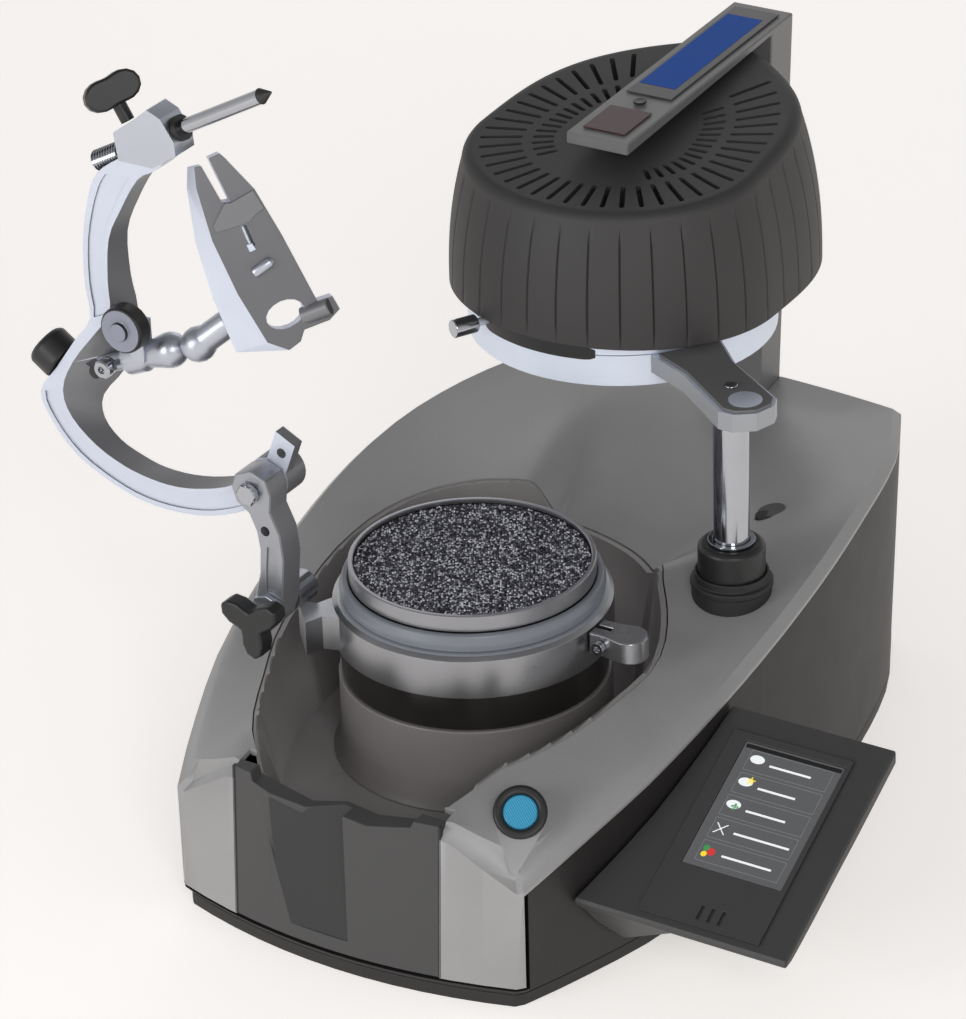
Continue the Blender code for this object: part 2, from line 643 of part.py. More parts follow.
def ramp_drop(x, y):
    """How far the ramp behind the pot lies below the rest of the deck."""
    angle = math.degrees(math.atan2(y, x))
    left = (RAMP_LEFT_DEG[1] - angle) / (RAMP_LEFT_DEG[1] - RAMP_LEFT_DEG[0])
    right = (angle - RAMP_RIGHT_DEG[0]) / (RAMP_RIGHT_DEG[1] - RAMP_RIGHT_DEG[0])
    side = min(max(min(left, right), 0.0), 1.0)
    away = math.hypot(x, y) - tub_radius(math.radians(angle))
    reach = min(max(1 - away / RAMP_LENGTH, 0.0), 1.0)
    return RAMP_DROP * side * side * (3 - 2 * side) * reach ** RAMP_POWER


def deck_height(x, y):
    """The height of the deck's upper face."""
    drop = ramp_drop(x, y)
    y = min(max(y, -BODY_FRONT), BODY_REAR)
    half, edge, inner = station(y)
    side = min(abs(x) / half, 1.0)
    crease = CREASE_HALF_SHARE * BODY_HALF_WIDTH / half
    if side >= crease:
        share = (1 - side) / (1 - crease)
        return edge + (inner - edge) * share - drop
    dip = SCOOP_DEPTH * (0.5 + 0.5 * math.cos(math.pi * side / crease))
    along = (y + BODY_FRONT) / (BODY_FRONT + BODY_REAR)
    fade = min(max(2 * (1 - along), 0.0), 1.0)
    return inner - dip * fade - drop


def half_outline():
    """Points from the middle of the front, up the right side, to the middle of the rear."""
    points = []
    corner = STATION_SHARES[0][1] * BODY_HALF_WIDTH
    for step in range(FRONT_STEPS):
        points.append(("front", corner * step / (FRONT_STEPS - 1), 0.0))
    length = BODY_FRONT + BODY_REAR
    first = STATION_SHARES[1][0]
    for index, extra in enumerate(CORNER_STEP_SHARES):
        y = -BODY_FRONT + (first + extra) * length
        points.append((f"corner_{index}", station(y)[0], y))
    first += extra
    for step in range(1, SIDE_STEPS + 1):
        share = first + (1 - first) * step / SIDE_STEPS
        y = -BODY_FRONT + share * length
        points.append(("side", station(y)[0], y))
    rear = station(BODY_REAR)[0]
    for step in range(1, REAR_STEPS + 1):
        x = rear * (1 - step / REAR_STEPS)
        points.append(("rear", x, BODY_REAR + STERN * (1 - (x / rear) ** 2)))
    return points


def outline():
    """The whole outline, anticlockwise from the middle of the front."""
    right = half_outline()
    left = [(kind, -x, y) for kind, x, y in reversed(right[1:-1])]
    return right + left


OUTLINE = outline()


def edge_height(kind, x, y):
    """The height of the deck's outer edge above an outline point."""
    if kind == "front":
        corner = STATION_SHARES[0][1] * BODY_HALF_WIDTH
        share = min(max((abs(x) - WING_INNER) / (corner - WING_INNER), 0.0), 1.0)
        _, edge, inner = station(-BODY_FRONT)
        return inner + (edge - inner) * share
    return station(y)[1]


def seam_height(kind, x, y):
    if kind in ("front", "corner_0"):
        return FRONT_SEAM
    return station(y)[1] - SHOULDER_DROP


def housing_height(kind, x, y):
    """The lower housing's top edge, which starts just behind the cover's upright front edge."""
    if kind in ("front", "corner_0", "corner_1", "corner_2"):
        return FRONT_SEAM - KERB_GAP
    return seam_height(kind, x, y) - GAP


def outline_ring(height_of, inset=0.0):
    """The outline as points in space, moved inwards by an inset."""
    flat = []
    for kind, x, y in OUTLINE:
        height = height_of(kind, x, y)
        if kind == "front":
            y = front_y(x, height)
        flat.append((x, y, height))
    return inset_ring(flat, inset)


def inset_ring(ring, inset):
    if inset == 0.0:
        return ring
    moved = []
    for index in range(len(ring)):
        here = Vector(ring[index][:2])
        before = neighbour(ring, index, -1)
        after = neighbour(ring, index, 1)
        first = (here - before).normalized()
        second = (after - here).normalized()
        normal = Vector((-(first + second).y, (first + second).x)).normalized()
        lean = max(normal.dot(Vector((-first.y, first.x))), 0.5)
        spot = here + normal * inset / lean
        moved.append((spot.x, spot.y, ring[index][2]))
    return moved


def neighbour(ring, index, step):
    """The first point of a ring, one way round, that is clear of a corner's close points."""
    here = Vector(ring[index][:2])
    place_now = index + step
    while (Vector(ring[place_now % len(ring)][:2]) - here).length < CORNER_REACH:
        place_now += step
    return Vector(ring[place_now % len(ring)][:2])


def tub_radius(angle):
    """The tub's rim radius in the direction of an angle from +X."""
    degrees = math.degrees(angle)
    while degrees < TUB_RIM_SHARES[0][0]:
        degrees += 360
    while degrees > TUB_RIM_SHARES[-1][0]:
        degrees -= 360
    return smooth(TUB_RIM_SHARES, degrees)[0] * TUB_RADIUS


def tub_ring(shrink, height_of, share=1.0):
    points = []
    for kind, x, y in OUTLINE:
        if kind == "front":
            y = front_y(x, FRONT_SEAM)
        angle = math.atan2(y, x)
        radius = tub_radius(angle) * share - shrink
        spot = (radius * math.cos(angle), radius * math.sin(angle))
        points.append((*spot, height_of(*spot)))
    return points


def blend_rings(outer, inner, share, height_of):
    points = []
    for first, second in zip(outer, inner):
        x = first[0] + (second[0] - first[0]) * share
        y = first[1] + (second[1] - first[1]) * share
        points.append((x, y, height_of(x, y)))
    return points


# Housing pieces

def make_base_plate():
    ring = outline_ring(lambda kind, x, y: BASE_HEIGHT, BASE_DRAFT)
    low = [(x, y, 0.0) for x, y, _ in ring]
    high = [(x, y, BASE_HEIGHT) for x, y, _ in ring]
    return place("base_plate", loft("base_plate", [low, high]), "black")


def make_lower_housing():
    bottom = BASE_HEIGHT + GAP
    floor = bottom + FLOOR_THICK
    foot = outline_ring(lambda kind, x, y: bottom, BASE_DRAFT)
    top = outline_ring(housing_height)
    inner_top = inset_ring(top, WALL)
    inner_foot = inset_ring([(x, y, floor) for x, y, _ in foot], WALL)
    rings = [foot, top, inner_top, inner_foot]
    return place("lower_housing", loft("lower_housing", rings), "dark_case")


def make_top_cover():
    skirt = outline_ring(seam_height)
    step = outline_ring(lambda kind, x, y: edge_height(kind, x, y) - SHOULDER_INSET)
    shoulder = inset_ring(outline_ring(edge_height), SHOULDER_INSET)
    rim = tub_ring(0.0, deck_height)
    outer = [skirt, step, shoulder]
    for index in range(1, DECK_RINGS):
        outer.append(blend_rings(shoulder, rim, index / DECK_RINGS, deck_height))
    outer.append(rim)
    under = [(x, y, height - WALL) for x, y, height in rim]
    shelf = [(x, y, z - WALL) for x, y, z in shoulder]
    middle = blend_rings(shelf, under, 0.5, lambda x, y: deck_height(x, y) - WALL)
    inner_step = inset_ring([(x, y, (low[2] + z) / 2) for low, (x, y, z) in zip(skirt, step)], WALL)
    inner_skirt = inset_ring(skirt, WALL)
    rings = outer + [under, middle, shelf, inner_step, inner_skirt]
    item = place("top_cover", loft("top_cover", rings, closed=True), "deck")
    front = front_y(0.0, 0.0) - OVERRUN
    boolean(item, cutter("insert_cut", box("insert_cut", (-WING_INNER, front, 0.0),
                                           (WING_INNER, front + FRONT_CUT_DEPTH, DECK_HEIGHT))))
    boolean(item, cutter("collar_cut", drum("collar_cut", COLLAR_RADIUS + GAP, TUB_FLOOR,
                                            DECK_HEIGHT + OVERRUN, (POST_X, POST_Y), 32)))
    half = TOWER_WIDTH / 2 + GAP
    rear = TOWER_FRONT + TOWER_DEPTH + GAP
    boolean(item, cutter("tower_cut", box("tower_cut", (TOWER_X - half, TOWER_FRONT - GAP, TUB_FLOOR),
                                          (TOWER_X + half, rear, DECK_HEIGHT + OVERRUN))))
    deck = deck_height(PLUG_X, PLUG_Y)
    hole = drum("plug_cut", PLUG_RADIUS + GAP, deck - 2 * OVERRUN, deck + OVERRUN, (PLUG_X, PLUG_Y), 20)
    boolean(item, cutter("plug_cut", hole))
    boolean(item, cutter("button_boss", boss_form()), "UNION")
    bore = drum("button_bore", BUTTON_FLANGE + GAP, -BOSS_DEPTH / 2 - GAP, OVERRUN, segments=24)
    boolean(item, cutter("button_bore", bore, BUTTON_SPOT, BUTTON_TURN))
    return item


def make_front_insert():
    """The dark panel between the wings, with a slanted recess and a slot beside it."""
    top = station(-BODY_FRONT)[2]
    half = WING_INNER - GAP
    steps = 2 * FRONT_STEPS
    rings = []
    for height in (FRONT_SEAM, top):
        ring = []
        for step in range(steps + 1):
            x = -half + 2 * half * step / steps
            ring.append((x, front_y(x, height) + INSERT_SETBACK, height))
        ring.append((half, -INSERT_BACK, height))
        ring.append((-half, -INSERT_BACK, height))
        rings.append(ring)
    item = place("front_insert", loft("front_insert", rings), "dark_case")
    front = front_y(0.0, 0.0) - OVERRUN
    notch = [(half * NOTCH_END_SHARES[0], top + OVERRUN)]
    notch += [(half * across, top - INSERT_DIP * down) for across, down in NOTCH_SHARES]
    notch.append((half * NOTCH_END_SHARES[1], top + OVERRUN))
    boolean(item, cutter("insert_notch", slab("insert_notch", notch, front, -INSERT_BACK + OVERRUN)))
    low = BASE_HEIGHT + RECESS_FOOT
    deep = front_y(0.0, top) + INSERT_SETBACK + RECESS_DEPTH
    shallow = deep - RECESS_DEPTH + GAP
    form = []
    for height, shares in ((top, RECESS_TOP_SHARES), (low, RECESS_FOOT_SHARES)):
        left, right = half * shares[0], half * shares[1]
        form.append([(left, front, height), (right, front, height), (right, deep, height),
                     (left, shallow, height)])
    boolean(item, cutter("insert_recess", loft("insert_recess", form)))
    return item


def make_tub():
    """A cup that hangs in the cover's opening and carries the pot."""
    gap = 2 * GAP
    rim_low = -TUB_RIM_DROP

    def rim_height(x, y):
        if y < -BODY_FRONT * TUB_FRONT_SHARE:
            return deck_height(x, y) - INSERT_DIP - WALL
        return deck_height(x, y) + rim_low

    outer_top = tub_ring(gap, rim_height)
    outer_low = tub_ring(gap, lambda x, y: TUB_FLOOR - TUB_WALL, TUB_FLOOR_SHARE)
    inner_low = tub_ring(gap + TUB_WALL, lambda x, y: TUB_FLOOR, TUB_FLOOR_SHARE)
    inner_top = tub_ring(gap + TUB_WALL, rim_height)
    item = place("tub_liner", loft("tub_liner", [outer_low, outer_top, inner_top, inner_low]), "tub")
    boolean(item, cutter("tub_drain", drum("tub_drain", NOZZLE_RADIUS + GAP, TUB_FLOOR - OVERRUN,
                                           TUB_FLOOR + OVERRUN)))
    return item


def make_pot_seat():
    low = TUB_FLOOR + GAP
    top = POT_SKIRT_BASE - GAP
    flare = SEAT_RADIUS + SEAT_FLARE
    profile = [(SEAT_BORE, low), (flare, low), (SEAT_RADIUS + SEAT_FLARE / 3, low + SEAT_FLARE),
               (SEAT_RADIUS, low + 3 * SEAT_FLARE), (SEAT_RADIUS, top), (SEAT_BORE, top)]
    return ring_loop("pot_seat", profile, "tub")


def make_pot():
    low = POT_SKIRT_BASE
    neck = GRANULATE_RADIUS + GAP + RIM_WALL
    bore = GRANULATE_RADIUS + GAP
    floor = low + POT_FLOOR_THICK
    ledge = FLANGE_TOP - FLANGE_HEIGHT - GAP
    top = POT_TOP + RIM_RISE
    profile = [(NOZZLE_BORE, low - NOZZLE_LENGTH), (NOZZLE_RADIUS, low - NOZZLE_LENGTH),
               (NOZZLE_RADIUS, low), (POT_RADIUS, low), (POT_RADIUS, ledge), (neck, ledge),
               (neck, top), (bore, top), (bore, floor), (NOZZLE_BORE, floor)]
    ring_loop("pot_cup", profile, "dark_steel", segments=64)
    filling = [(0.0, POT_TOP), (bore * FILLING_FLAT_SHARE, POT_TOP), (GRANULATE_RADIUS, POT_TOP - GAP),
               (GRANULATE_RADIUS, floor + GAP), (0.0, floor + GAP)]
    turned("granulate", filling, "granulate", segments=48)
    seal_in = neck + GAP
    seal_out = seal_in + SEAL_WIDTH
    middle = (SEAL_TOP + FLANGE_TOP) / 2
    seal = [(seal_in, FLANGE_TOP + GAP), (seal_out - SEAL_WIDTH / 4, FLANGE_TOP + GAP),
            (seal_out, middle), (seal_out - SEAL_WIDTH / 3, SEAL_TOP), (seal_in, SEAL_TOP)]
    ring_loop("seal_ring", seal, "seal", segments=64)
    low = FLANGE_TOP - FLANGE_HEIGHT
    lip = FLANGE_RADIUS - RIM_WALL
    flange = [(neck + GAP, low), (FLANGE_RADIUS, low), (FLANGE_RADIUS, FLANGE_TOP - RIM_WALL),
              (lip, FLANGE_TOP), (neck + GAP, FLANGE_TOP)]
    item = ring_loop("flange_ring", flange, "alloy", segments=64)
    root = FLANGE_RADIUS - RIM_WALL
    tip = LUG_REACH
    half = LUG_WIDTH / 2
    waist = half * LUG_WAIST_SHARE
    middle = (root + tip) / 2
    outline_points = [(root, -half), (middle, -waist), (tip, -half), (tip, half),
                      (middle, waist), (root, half)]
    lug = prism("jaw_lug", outline_points, low + RIM_WALL, FLANGE_TOP - RIM_WALL)
    boolean(item, cutter("jaw_lug", lug, rotation=Euler((0.0, 0.0, LUG_ANGLE))), "UNION")
    spot = jaw_spot(JAW_BASE_SHARES)
    knuckle = drum("base_knuckle", BASE_KNUCKLE_RADIUS, ARM_FRONT, ARM_REAR, spot, 20, "Y")
    boolean(item, cutter("base_knuckle", knuckle), "UNION")
    bore = drum("base_bore", HINGE_PIN_RADIUS + GAP, ARM_FRONT - OVERRUN, ARM_REAR + OVERRUN, spot, 16, "Y")
    boolean(item, cutter("base_bore", bore))
    return item


def make_handle():
    half = HANDLE_WIDTH / 2
    root = FLANGE_RADIUS + GAP
    grip = HANDLE_REACH - half
    side = half * HANDLE_ROOT_SHARE
    points = [(root, side), (root, -side), (grip - half, -side)]
    for step in range(HANDLE_STEPS + 1):
        angle = math.pi * step / HANDLE_STEPS - math.pi / 2
        points.append((grip + half * math.cos(angle), half * math.sin(angle)))
    points.append((grip - half, side))
    top = FLANGE_TOP - RIM_WALL
    item = place("pot_handle", prism("pot_handle", points, top - HANDLE_THICK, top), "alloy")
    bevel(item, RIM_WALL / 2)
    slot_half = RIM_WALL * HANDLE_SLOT_SHARE
    slot = box("handle_slot", (root - OVERRUN, -slot_half, top - HANDLE_THICK / 2),
               (grip - half, slot_half, top + OVERRUN))
    boolean(item, cutter("handle_slot", slot))
    reach = root + SCREW_RADIUS * 2
    height = top - HANDLE_THICK / 2
    front = -side - GAP
    head = drum("handle_screw", SCREW_RADIUS, front - SCREW_RADIUS, front, (reach, height), 12, "Y")
    screw_item = place("handle_screw", head, "chrome")
    socket = drum("screw_socket", SCREW_RADIUS / 2, front - 2 * SCREW_RADIUS, front - SCREW_RADIUS / 2,
                  (reach, height), 6, "Y")
    boolean(screw_item, cutter("screw_socket", socket))
    return item


def make_post():
    centre = (POST_X, POST_Y, 0.0)
    deck = COLLAR_BASE
    body = [(CYLINDER_RADIUS - CYLINDER_WALL, deck + GAP), (COLLAR_RADIUS, deck + GAP),
            (COLLAR_RADIUS, COLLAR_TOP - RIM_WALL), (COLLAR_RADIUS - RIM_WALL, COLLAR_TOP),
            (ROD_RADIUS + GAP, COLLAR_TOP), (ROD_RADIUS + GAP, deck + RUBBER_HEIGHT),
            (CYLINDER_RADIUS - CYLINDER_WALL, deck + RUBBER_HEIGHT)]
    ring_loop("post_collar", body, "black", centre, 32)
    rubber_in = COLLAR_RADIUS + GAP
    step_low, step_high = (deck + RUBBER_HEIGHT * share for share in RUBBER_STEP_SHARES)
    rubber = [(rubber_in, deck + GAP), (RUBBER_RADIUS, deck + GAP), (RUBBER_RADIUS, step_low),
              (RUBBER_RADIUS - RIM_WALL, step_high), (RUBBER_RADIUS - RIM_WALL, deck + RUBBER_HEIGHT),
              (rubber_in, deck + RUBBER_HEIGHT)]
    ring_loop("rubber_ring", rubber, "black", centre, 32)
    washer_in = ROD_RADIUS + GAP
    washer_low = COLLAR_TOP + GAP
    washer_top = washer_low + WASHER_HEIGHT
    washer = [(washer_in, washer_low), (WASHER_RADIUS, washer_low), (WASHER_RADIUS, washer_top),
              (washer_in, washer_top)]
    ring_loop("wiper_washer", washer, "alloy", centre, 32)
    floor = BAY_FLOOR
    bore = CYLINDER_RADIUS - CYLINDER_WALL
    shell = [(0.0, floor + CYLINDER_WALL), (bore, floor + CYLINDER_WALL), (bore, deck),
             (CYLINDER_RADIUS, deck), (CYLINDER_RADIUS, floor), (0.0, floor)]
    turned("lift_cylinder", shell, "alloy", centre, 32)
    piston_top = deck - GAP
    piston_low = piston_top - PISTON_HEIGHT
    piston = [(0.0, piston_top), (bore - GAP, piston_top), (bore - GAP, piston_low), (0.0, piston_low)]
    turned("lift_piston", piston, "black", centre, 32)


def make_foil_ring():
    centre = (REST_X, REST_Y, 0.0)
    low, top = RING_BOTTOM, RING_BOTTOM + RING_HEIGHT
    ledge = low + LEDGE_HEIGHT
    profile = [(RING_OPENING, low), (RING_RADIUS, low), (RING_RADIUS, top), (BLANK_RADIUS, top),
               (BLANK_RADIUS, ledge), (RING_OPENING, ledge)]
    ring = ring_loop("foil_ring", profile, "alloy", centre, 64)
    lock_low = top + GAP
    lock_top = lock_low + LOCK_HEIGHT
    lock = [(BLANK_RADIUS, lock_low), (RING_RADIUS, lock_low), (RING_RADIUS, lock_top),
            (BLANK_RADIUS, lock_top)]
    item = ring_loop("lock_ring", lock, "alloy", centre, 64)
    root = RING_RADIUS - LEVER_RADIUS
    middle = (lock_low + lock_top) / 2
    lever_end = RING_RADIUS + LEVER_REACH / 2
    lever = drum("lever", LOCK_HEIGHT * LEVER_THICK_SHARE, root, lever_end, (0.0, middle), 16, "X")
    boolean(item, cutter("lever", lever, centre, Euler((0.0, 0.0, LEVER_ANGLE))), "UNION")
    start = lever_end + GAP
    knob_radius = LEVER_RADIUS * LEVER_KNOB_SHARE
    knob = [(0.0, LEVER_REACH), (knob_radius, LEVER_REACH), (knob_radius, 0.0), (0.0, 0.0)]
    direction = Vector((math.cos(LEVER_ANGLE), math.sin(LEVER_ANGLE), 0.0))
    spot = Vector((REST_X, REST_Y, middle)) + direction * start
    turned("lever_knob", knob, "chrome", spot, 16, Euler((0.0, math.radians(90), LEVER_ANGLE)))
    return ring


def arm_outline(grow=0.0):
    """The arm from above, from its root at the ring to its tip past the post, along local +X."""
    reach = math.hypot(POST_X - REST_X, POST_Y - REST_Y)
    root = RING_RADIUS - RIM_WALL
    tip = reach + ARM_TIP
    root_half, tip_half = ARM_ROOT_HALF + grow, ARM_TIP_HALF + grow
    waist, waist_half = root + (tip - root) * ARM_WAIST_SHARES[0], root_half * ARM_WAIST_SHARES[1]
    back, corner, nose = (tip_half * share for share in ARM_END_SHARES)
    return [(root, -root_half), (waist, -waist_half), (tip - back, -tip_half), (tip, -corner),
            (tip + nose, 0.0), (tip, corner), (tip - back, tip_half), (waist, waist_half),
            (root, root_half)]


def make_arm(ring):
    centre = (REST_X, REST_Y, 0.0)
    turn = Euler((0.0, 0.0, math.atan2(POST_Y - REST_Y, POST_X - REST_X)))
    form = prism("foil_arm", arm_outline(), ARM_BOTTOM, RING_BOTTOM + RING_HEIGHT)
    reach = math.hypot(POST_X - REST_X, POST_Y - REST_Y)
    boolean(ring, cutter("foil_arm", form, centre, turn), "UNION")
    plate_low = RING_BOTTOM + RING_HEIGHT + GAP
    plate_outline = [(max(x, RING_RADIUS + 4 * GAP), y) for x, y in arm_outline(-ARM_PLATE_MARGIN)]
    plate = place("arm_plate", prism("arm_plate", plate_outline, plate_low, plate_low + ARM_PLATE), "black",
                  centre, turn)
    hole = drum("dimple", DIMPLE_RADIUS, plate_low - OVERRUN, plate_low + OVERRUN,
                (reach + DIMPLE_AWAY, 0.0), 20)
    boolean(plate, cutter("dimple", hole, centre, turn))
    plate_top = plate_low + ARM_PLATE
    crown, edge = (plate_top + SCREW_RADIUS * share for share in SCREW_HEAD_SHARES)
    screw_head = [(0.0, crown), (SCREW_RADIUS, edge), (SCREW_RADIUS, plate_top + GAP),
                  (0.0, plate_top + GAP)]
    turned("arm_screw", screw_head, "chrome", (POST_X, POST_Y, 0.0), 12)
    rod_top = ARM_BOTTOM - GAP
    rod = [(0.0, rod_top), (ROD_RADIUS, rod_top), (ROD_RADIUS, COLLAR_BASE), (0.0, COLLAR_BASE)]
    turned("lift_rod", rod, "chrome", (POST_X, POST_Y, 0.0), 32)


# Heater

def hood_top(y):
    share = (y - HOOD_FRONT) / (TOWER_FRONT - HOOD_FRONT)
    return HOOD_FRONT_TOP + (HOOD_REAR_TOP - HOOD_FRONT_TOP) * share


def hood_ring(grow, height_of):
    """A teardrop outline round the heater, with its blunt tail at the tower."""
    points = []
    tail = TOWER_WIDTH * HOOD_TAIL_SHARE
    wide = HOOD_HALF_WIDTH + grow
    nose = HOOD_WIDEST_Y - HOOD_FRONT + grow
    rear = tower_front_at(HOOD_BOTTOM) - HOOD_REAR_GAP + min(grow, 0.0)
    for step in range(HOOD_STEPS + 1):
        angle = math.radians(-90 + 90 * step / HOOD_STEPS)
        points.append((wide * math.cos(angle), HOOD_WIDEST_Y + nose * math.sin(angle)))
    for step in range(1, HOOD_STEPS + 1):
        share = step / HOOD_STEPS
        x = tail + (wide - tail) * (1 - share ** HOOD_TAIL_POWER)
        points.append((x + min(grow, 0.0) / 2 * share, HOOD_WIDEST_Y + (rear - HOOD_WIDEST_Y) * share))
    left = [(-x, y) for x, y in reversed(points[1:])]
    return [(TOWER_X + x, y, height_of(y)) for x, y in points + left]


def tower_front_at(height):
    return TOWER_FRONT + TOWER_LEAN * (height - DECK_HEIGHT) / (TOWER_TOP - DECK_HEIGHT)


def hood_rings(wall):
    """The hood's rings from its lower edge to its top, moved inwards by a wall."""
    brim = HOOD_SHOULDER * HOOD_BRIM_SHARE
    rings = [hood_ring(-wall, lambda y: HOOD_BOTTOM)]
    for inset, up in HOOD_SIDE_SHARES:
        rings.append(hood_ring(-HOOD_TAPER * inset - wall,
                               lambda y: HOOD_BOTTOM + (hood_top(y) - HOOD_BOTTOM) * up))
    shoulder = HOOD_TAPER * HOOD_SHOULDER_SHARE
    rounding = brim * HOOD_ROUND_SHARE
    rings.append(hood_ring(-shoulder - wall, lambda y: hood_top(y) - brim - wall))
    rings.append(hood_ring(-shoulder - rounding - wall, lambda y: hood_top(y) - rounding - wall))
    rings.append(hood_ring(-hood_crown_inset() - wall, lambda y: hood_top(y) - wall))
    return rings


def hood_crown_inset():
    """How far the hood's flat top lies inside its lower edge."""
    return HOOD_TAPER + HOOD_SHOULDER * HOOD_BRIM_SHARE * HOOD_CROWN_SHARE


def make_hood():
    rings, inner = hood_rings(0.0), hood_rings(HOOD_WALL)
    form = loft("heater_hood", list(reversed(rings)) + inner)
    item = place("heater_hood", form, "hood")
    slots = bmesh.new()
    top_ring = hood_ring(-hood_crown_inset() - SLOT_MARGIN, hood_top)
    for row, (near, far) in enumerate(SLOT_ROW_SHARES):
        for index in range(SLOT_COUNT):
            angle = 2 * math.pi * (index + 0.5) / SLOT_COUNT - math.pi / 2
            edge = ring_point(top_ring, angle)
            middle = Vector((TOWER_X, HOOD_CENTRE_Y))
            first = middle + (edge - middle) * near
            last = middle + (edge - middle) * far
            if slot_blocked(first) or slot_blocked(last):
                continue
            add_slot(slots, first, last)
    bmesh.ops.recalc_face_normals(slots, faces=slots.faces)
    boolean(item, cutter("hood_slots", to_mesh("hood_slots", slots)))
    return item


def slot_blocked(spot):
    beside = abs(spot.x - TOWER_X) < TOWER_WIDTH / 2 + SLOT_WIDTH * 2
    return beside and spot.y > BAR_FRONT - SLOT_WIDTH * 2


def ring_point(ring, angle):
    """Where a ray from the heater's middle meets a ring."""
    middle = Vector((TOWER_X, HOOD_CENTRE_Y))
    ray = Vector((math.cos(angle), math.sin(angle)))
    for index in range(len(ring)):
        first = Vector(ring[index - 1][:2]) - middle
        second = Vector(ring[index][:2]) - middle
        along = second - first
        cross = ray.x * along.y - ray.y * along.x
        if abs(cross) < 1e-12:
            continue
        reach = (first.x * along.y - first.y * along.x) / cross
        share = (first.x * ray.y - first.y * ray.x) / cross
        if reach > 0 and 0 <= share <= 1:
            return middle + ray * reach
    return middle


def add_slot(form, first, last):
    along = (last - first).normalized()
    side = Vector((-along.y, along.x)) * SLOT_WIDTH / 2
    low, high = HOOD_FRONT_TOP - HOOD_SHOULDER, HOOD_REAR_TOP + OVERRUN
    corners = [first - side, last - side, last + side, first + side]
    rows = [[form.verts.new((spot.x, spot.y, height)) for spot in corners] for height in (low, high)]
    for index in range(4):
        after = (index + 1) % 4
        form.faces.new((rows[0][index], rows[0][after], rows[1][after], rows[1][index]))
    form.faces.new(list(reversed(rows[0])))
    form.faces.new(rows[1])


def bar_underside():
    return hood_top(BAR_FRONT) + GAP + BAR_CLEARANCE


def make_tower():
    half = TOWER_WIDTH / 2
    floor = BAY_FLOOR
    step = DECK_HEIGHT + GAP
    rear = TOWER_FRONT + TOWER_DEPTH
    under = bar_underside()
    neck = tower_front_at(hood_top(TOWER_FRONT))
    profile = [(TOWER_FRONT, floor), (rear - BASE_DRAFT - GAP, floor), (rear, step),
               (rear + TOWER_LEAN, TOWER_TOP), (BAR_FRONT, under + BAR_RISE), (BAR_FRONT, under),
               (neck, hood_top(neck) + GAP), (TOWER_FRONT, step)]
    form = side_slab("heater_tower", profile, TOWER_X - half, TOWER_X + half)
    item = place("heater_tower", form, "dark_case")
    bevel(item, RIM_WALL / 3, 1)
    return item


def along_bar(share):
    """A place on the sloping top of the tower's bar, from its front to its rear."""
    rear = TOWER_FRONT + TOWER_DEPTH + TOWER_LEAN
    front_top = bar_underside() + BAR_RISE
    return BAR_FRONT + (rear - BAR_FRONT) * share, front_top + (TOWER_TOP - front_top) * share


def bar_strip(name, look, width, shares):
    outline_points = []
    for share in shares:
        y, z = along_bar(share)
        outline_points.append((y, z + GAP))
    for share in reversed(shares):
        y, z = along_bar(share)
        outline_points.append((y, z + GAP + BAR_DETAIL_THICK))
    form = side_slab(name, outline_points, TOWER_X - width / 2, TOWER_X + width / 2)
    return place(name, form, look)


def make_bar_details():
    bar_strip("bar_inlay", "inlay", INLAY_WIDTH, INLAY_SPAN_SHARES)
    bar_strip("sensor_window", "window", WINDOW_WIDTH, WINDOW_SPAN_SHARES)
    y, z = along_bar(EYE_SPAN_SHARE)
    rise = math.atan2(TOWER_TOP - along_bar(0.0)[1], along_bar(1.0)[0] - BAR_FRONT)
    eye = [(0.0, 2 * BAR_DETAIL_THICK), (EYE_RADIUS, 2 * BAR_DETAIL_THICK), (EYE_RADIUS, GAP), (0.0, GAP)]
    turned("sensor_eye", eye, "black", (TOWER_X, y, z), 16, Euler((rise, 0.0, 0.0)))
    deck = deck_height(PLUG_X, PLUG_Y)
    plug = drum("deck_plug", PLUG_RADIUS, deck - WALL, deck + RIM_WALL / 2, (PLUG_X, PLUG_Y), 20)
    place("deck_plug", plug, "alloy")


def make_heater():
    centre = (TOWER_X, HOOD_CENTRE_Y, 0.0)
    top = HEATER_BOTTOM + HEATER_THICK
    plate = [(0.0, top), (HEATER_RADIUS, top), (HEATER_RADIUS, HEATER_BOTTOM), (0.0, HEATER_BOTTOM)]
    turned("heater_plate", plate, "ceramic", centre, 40)
    low = top + GAP
    high = low + REFLECTOR_THICK
    edge = HEATER_RADIUS + RIM_WALL
    cup = [(0.0, high), (edge + REFLECTOR_THICK, high), (edge + REFLECTOR_THICK, HEATER_BOTTOM),
           (edge, HEATER_BOTTOM), (edge, low), (0.0, low)]
    turned("heat_reflector", cup, "alloy", centre, 40)
    foot = high + GAP
    front, rear = HOOD_CENTRE_Y - CARRIER_HALF, HOOD_CENTRE_Y + CARRIER_HALF
    under = HOOD_WALL + GAP
    outline_points = [(front, foot), (rear, foot), (rear, hood_top(rear) - under),
                      (front, hood_top(front) - under)]
    carrier = side_slab("heater_carrier", outline_points, TOWER_X - CARRIER_HALF, TOWER_X + CARRIER_HALF)
    place("heater_carrier", carrier, "alloy")


# Console

def console_top(y):
    return CONSOLE_TOP + CONSOLE_SLOPE * (y - CONSOLE_REAR)


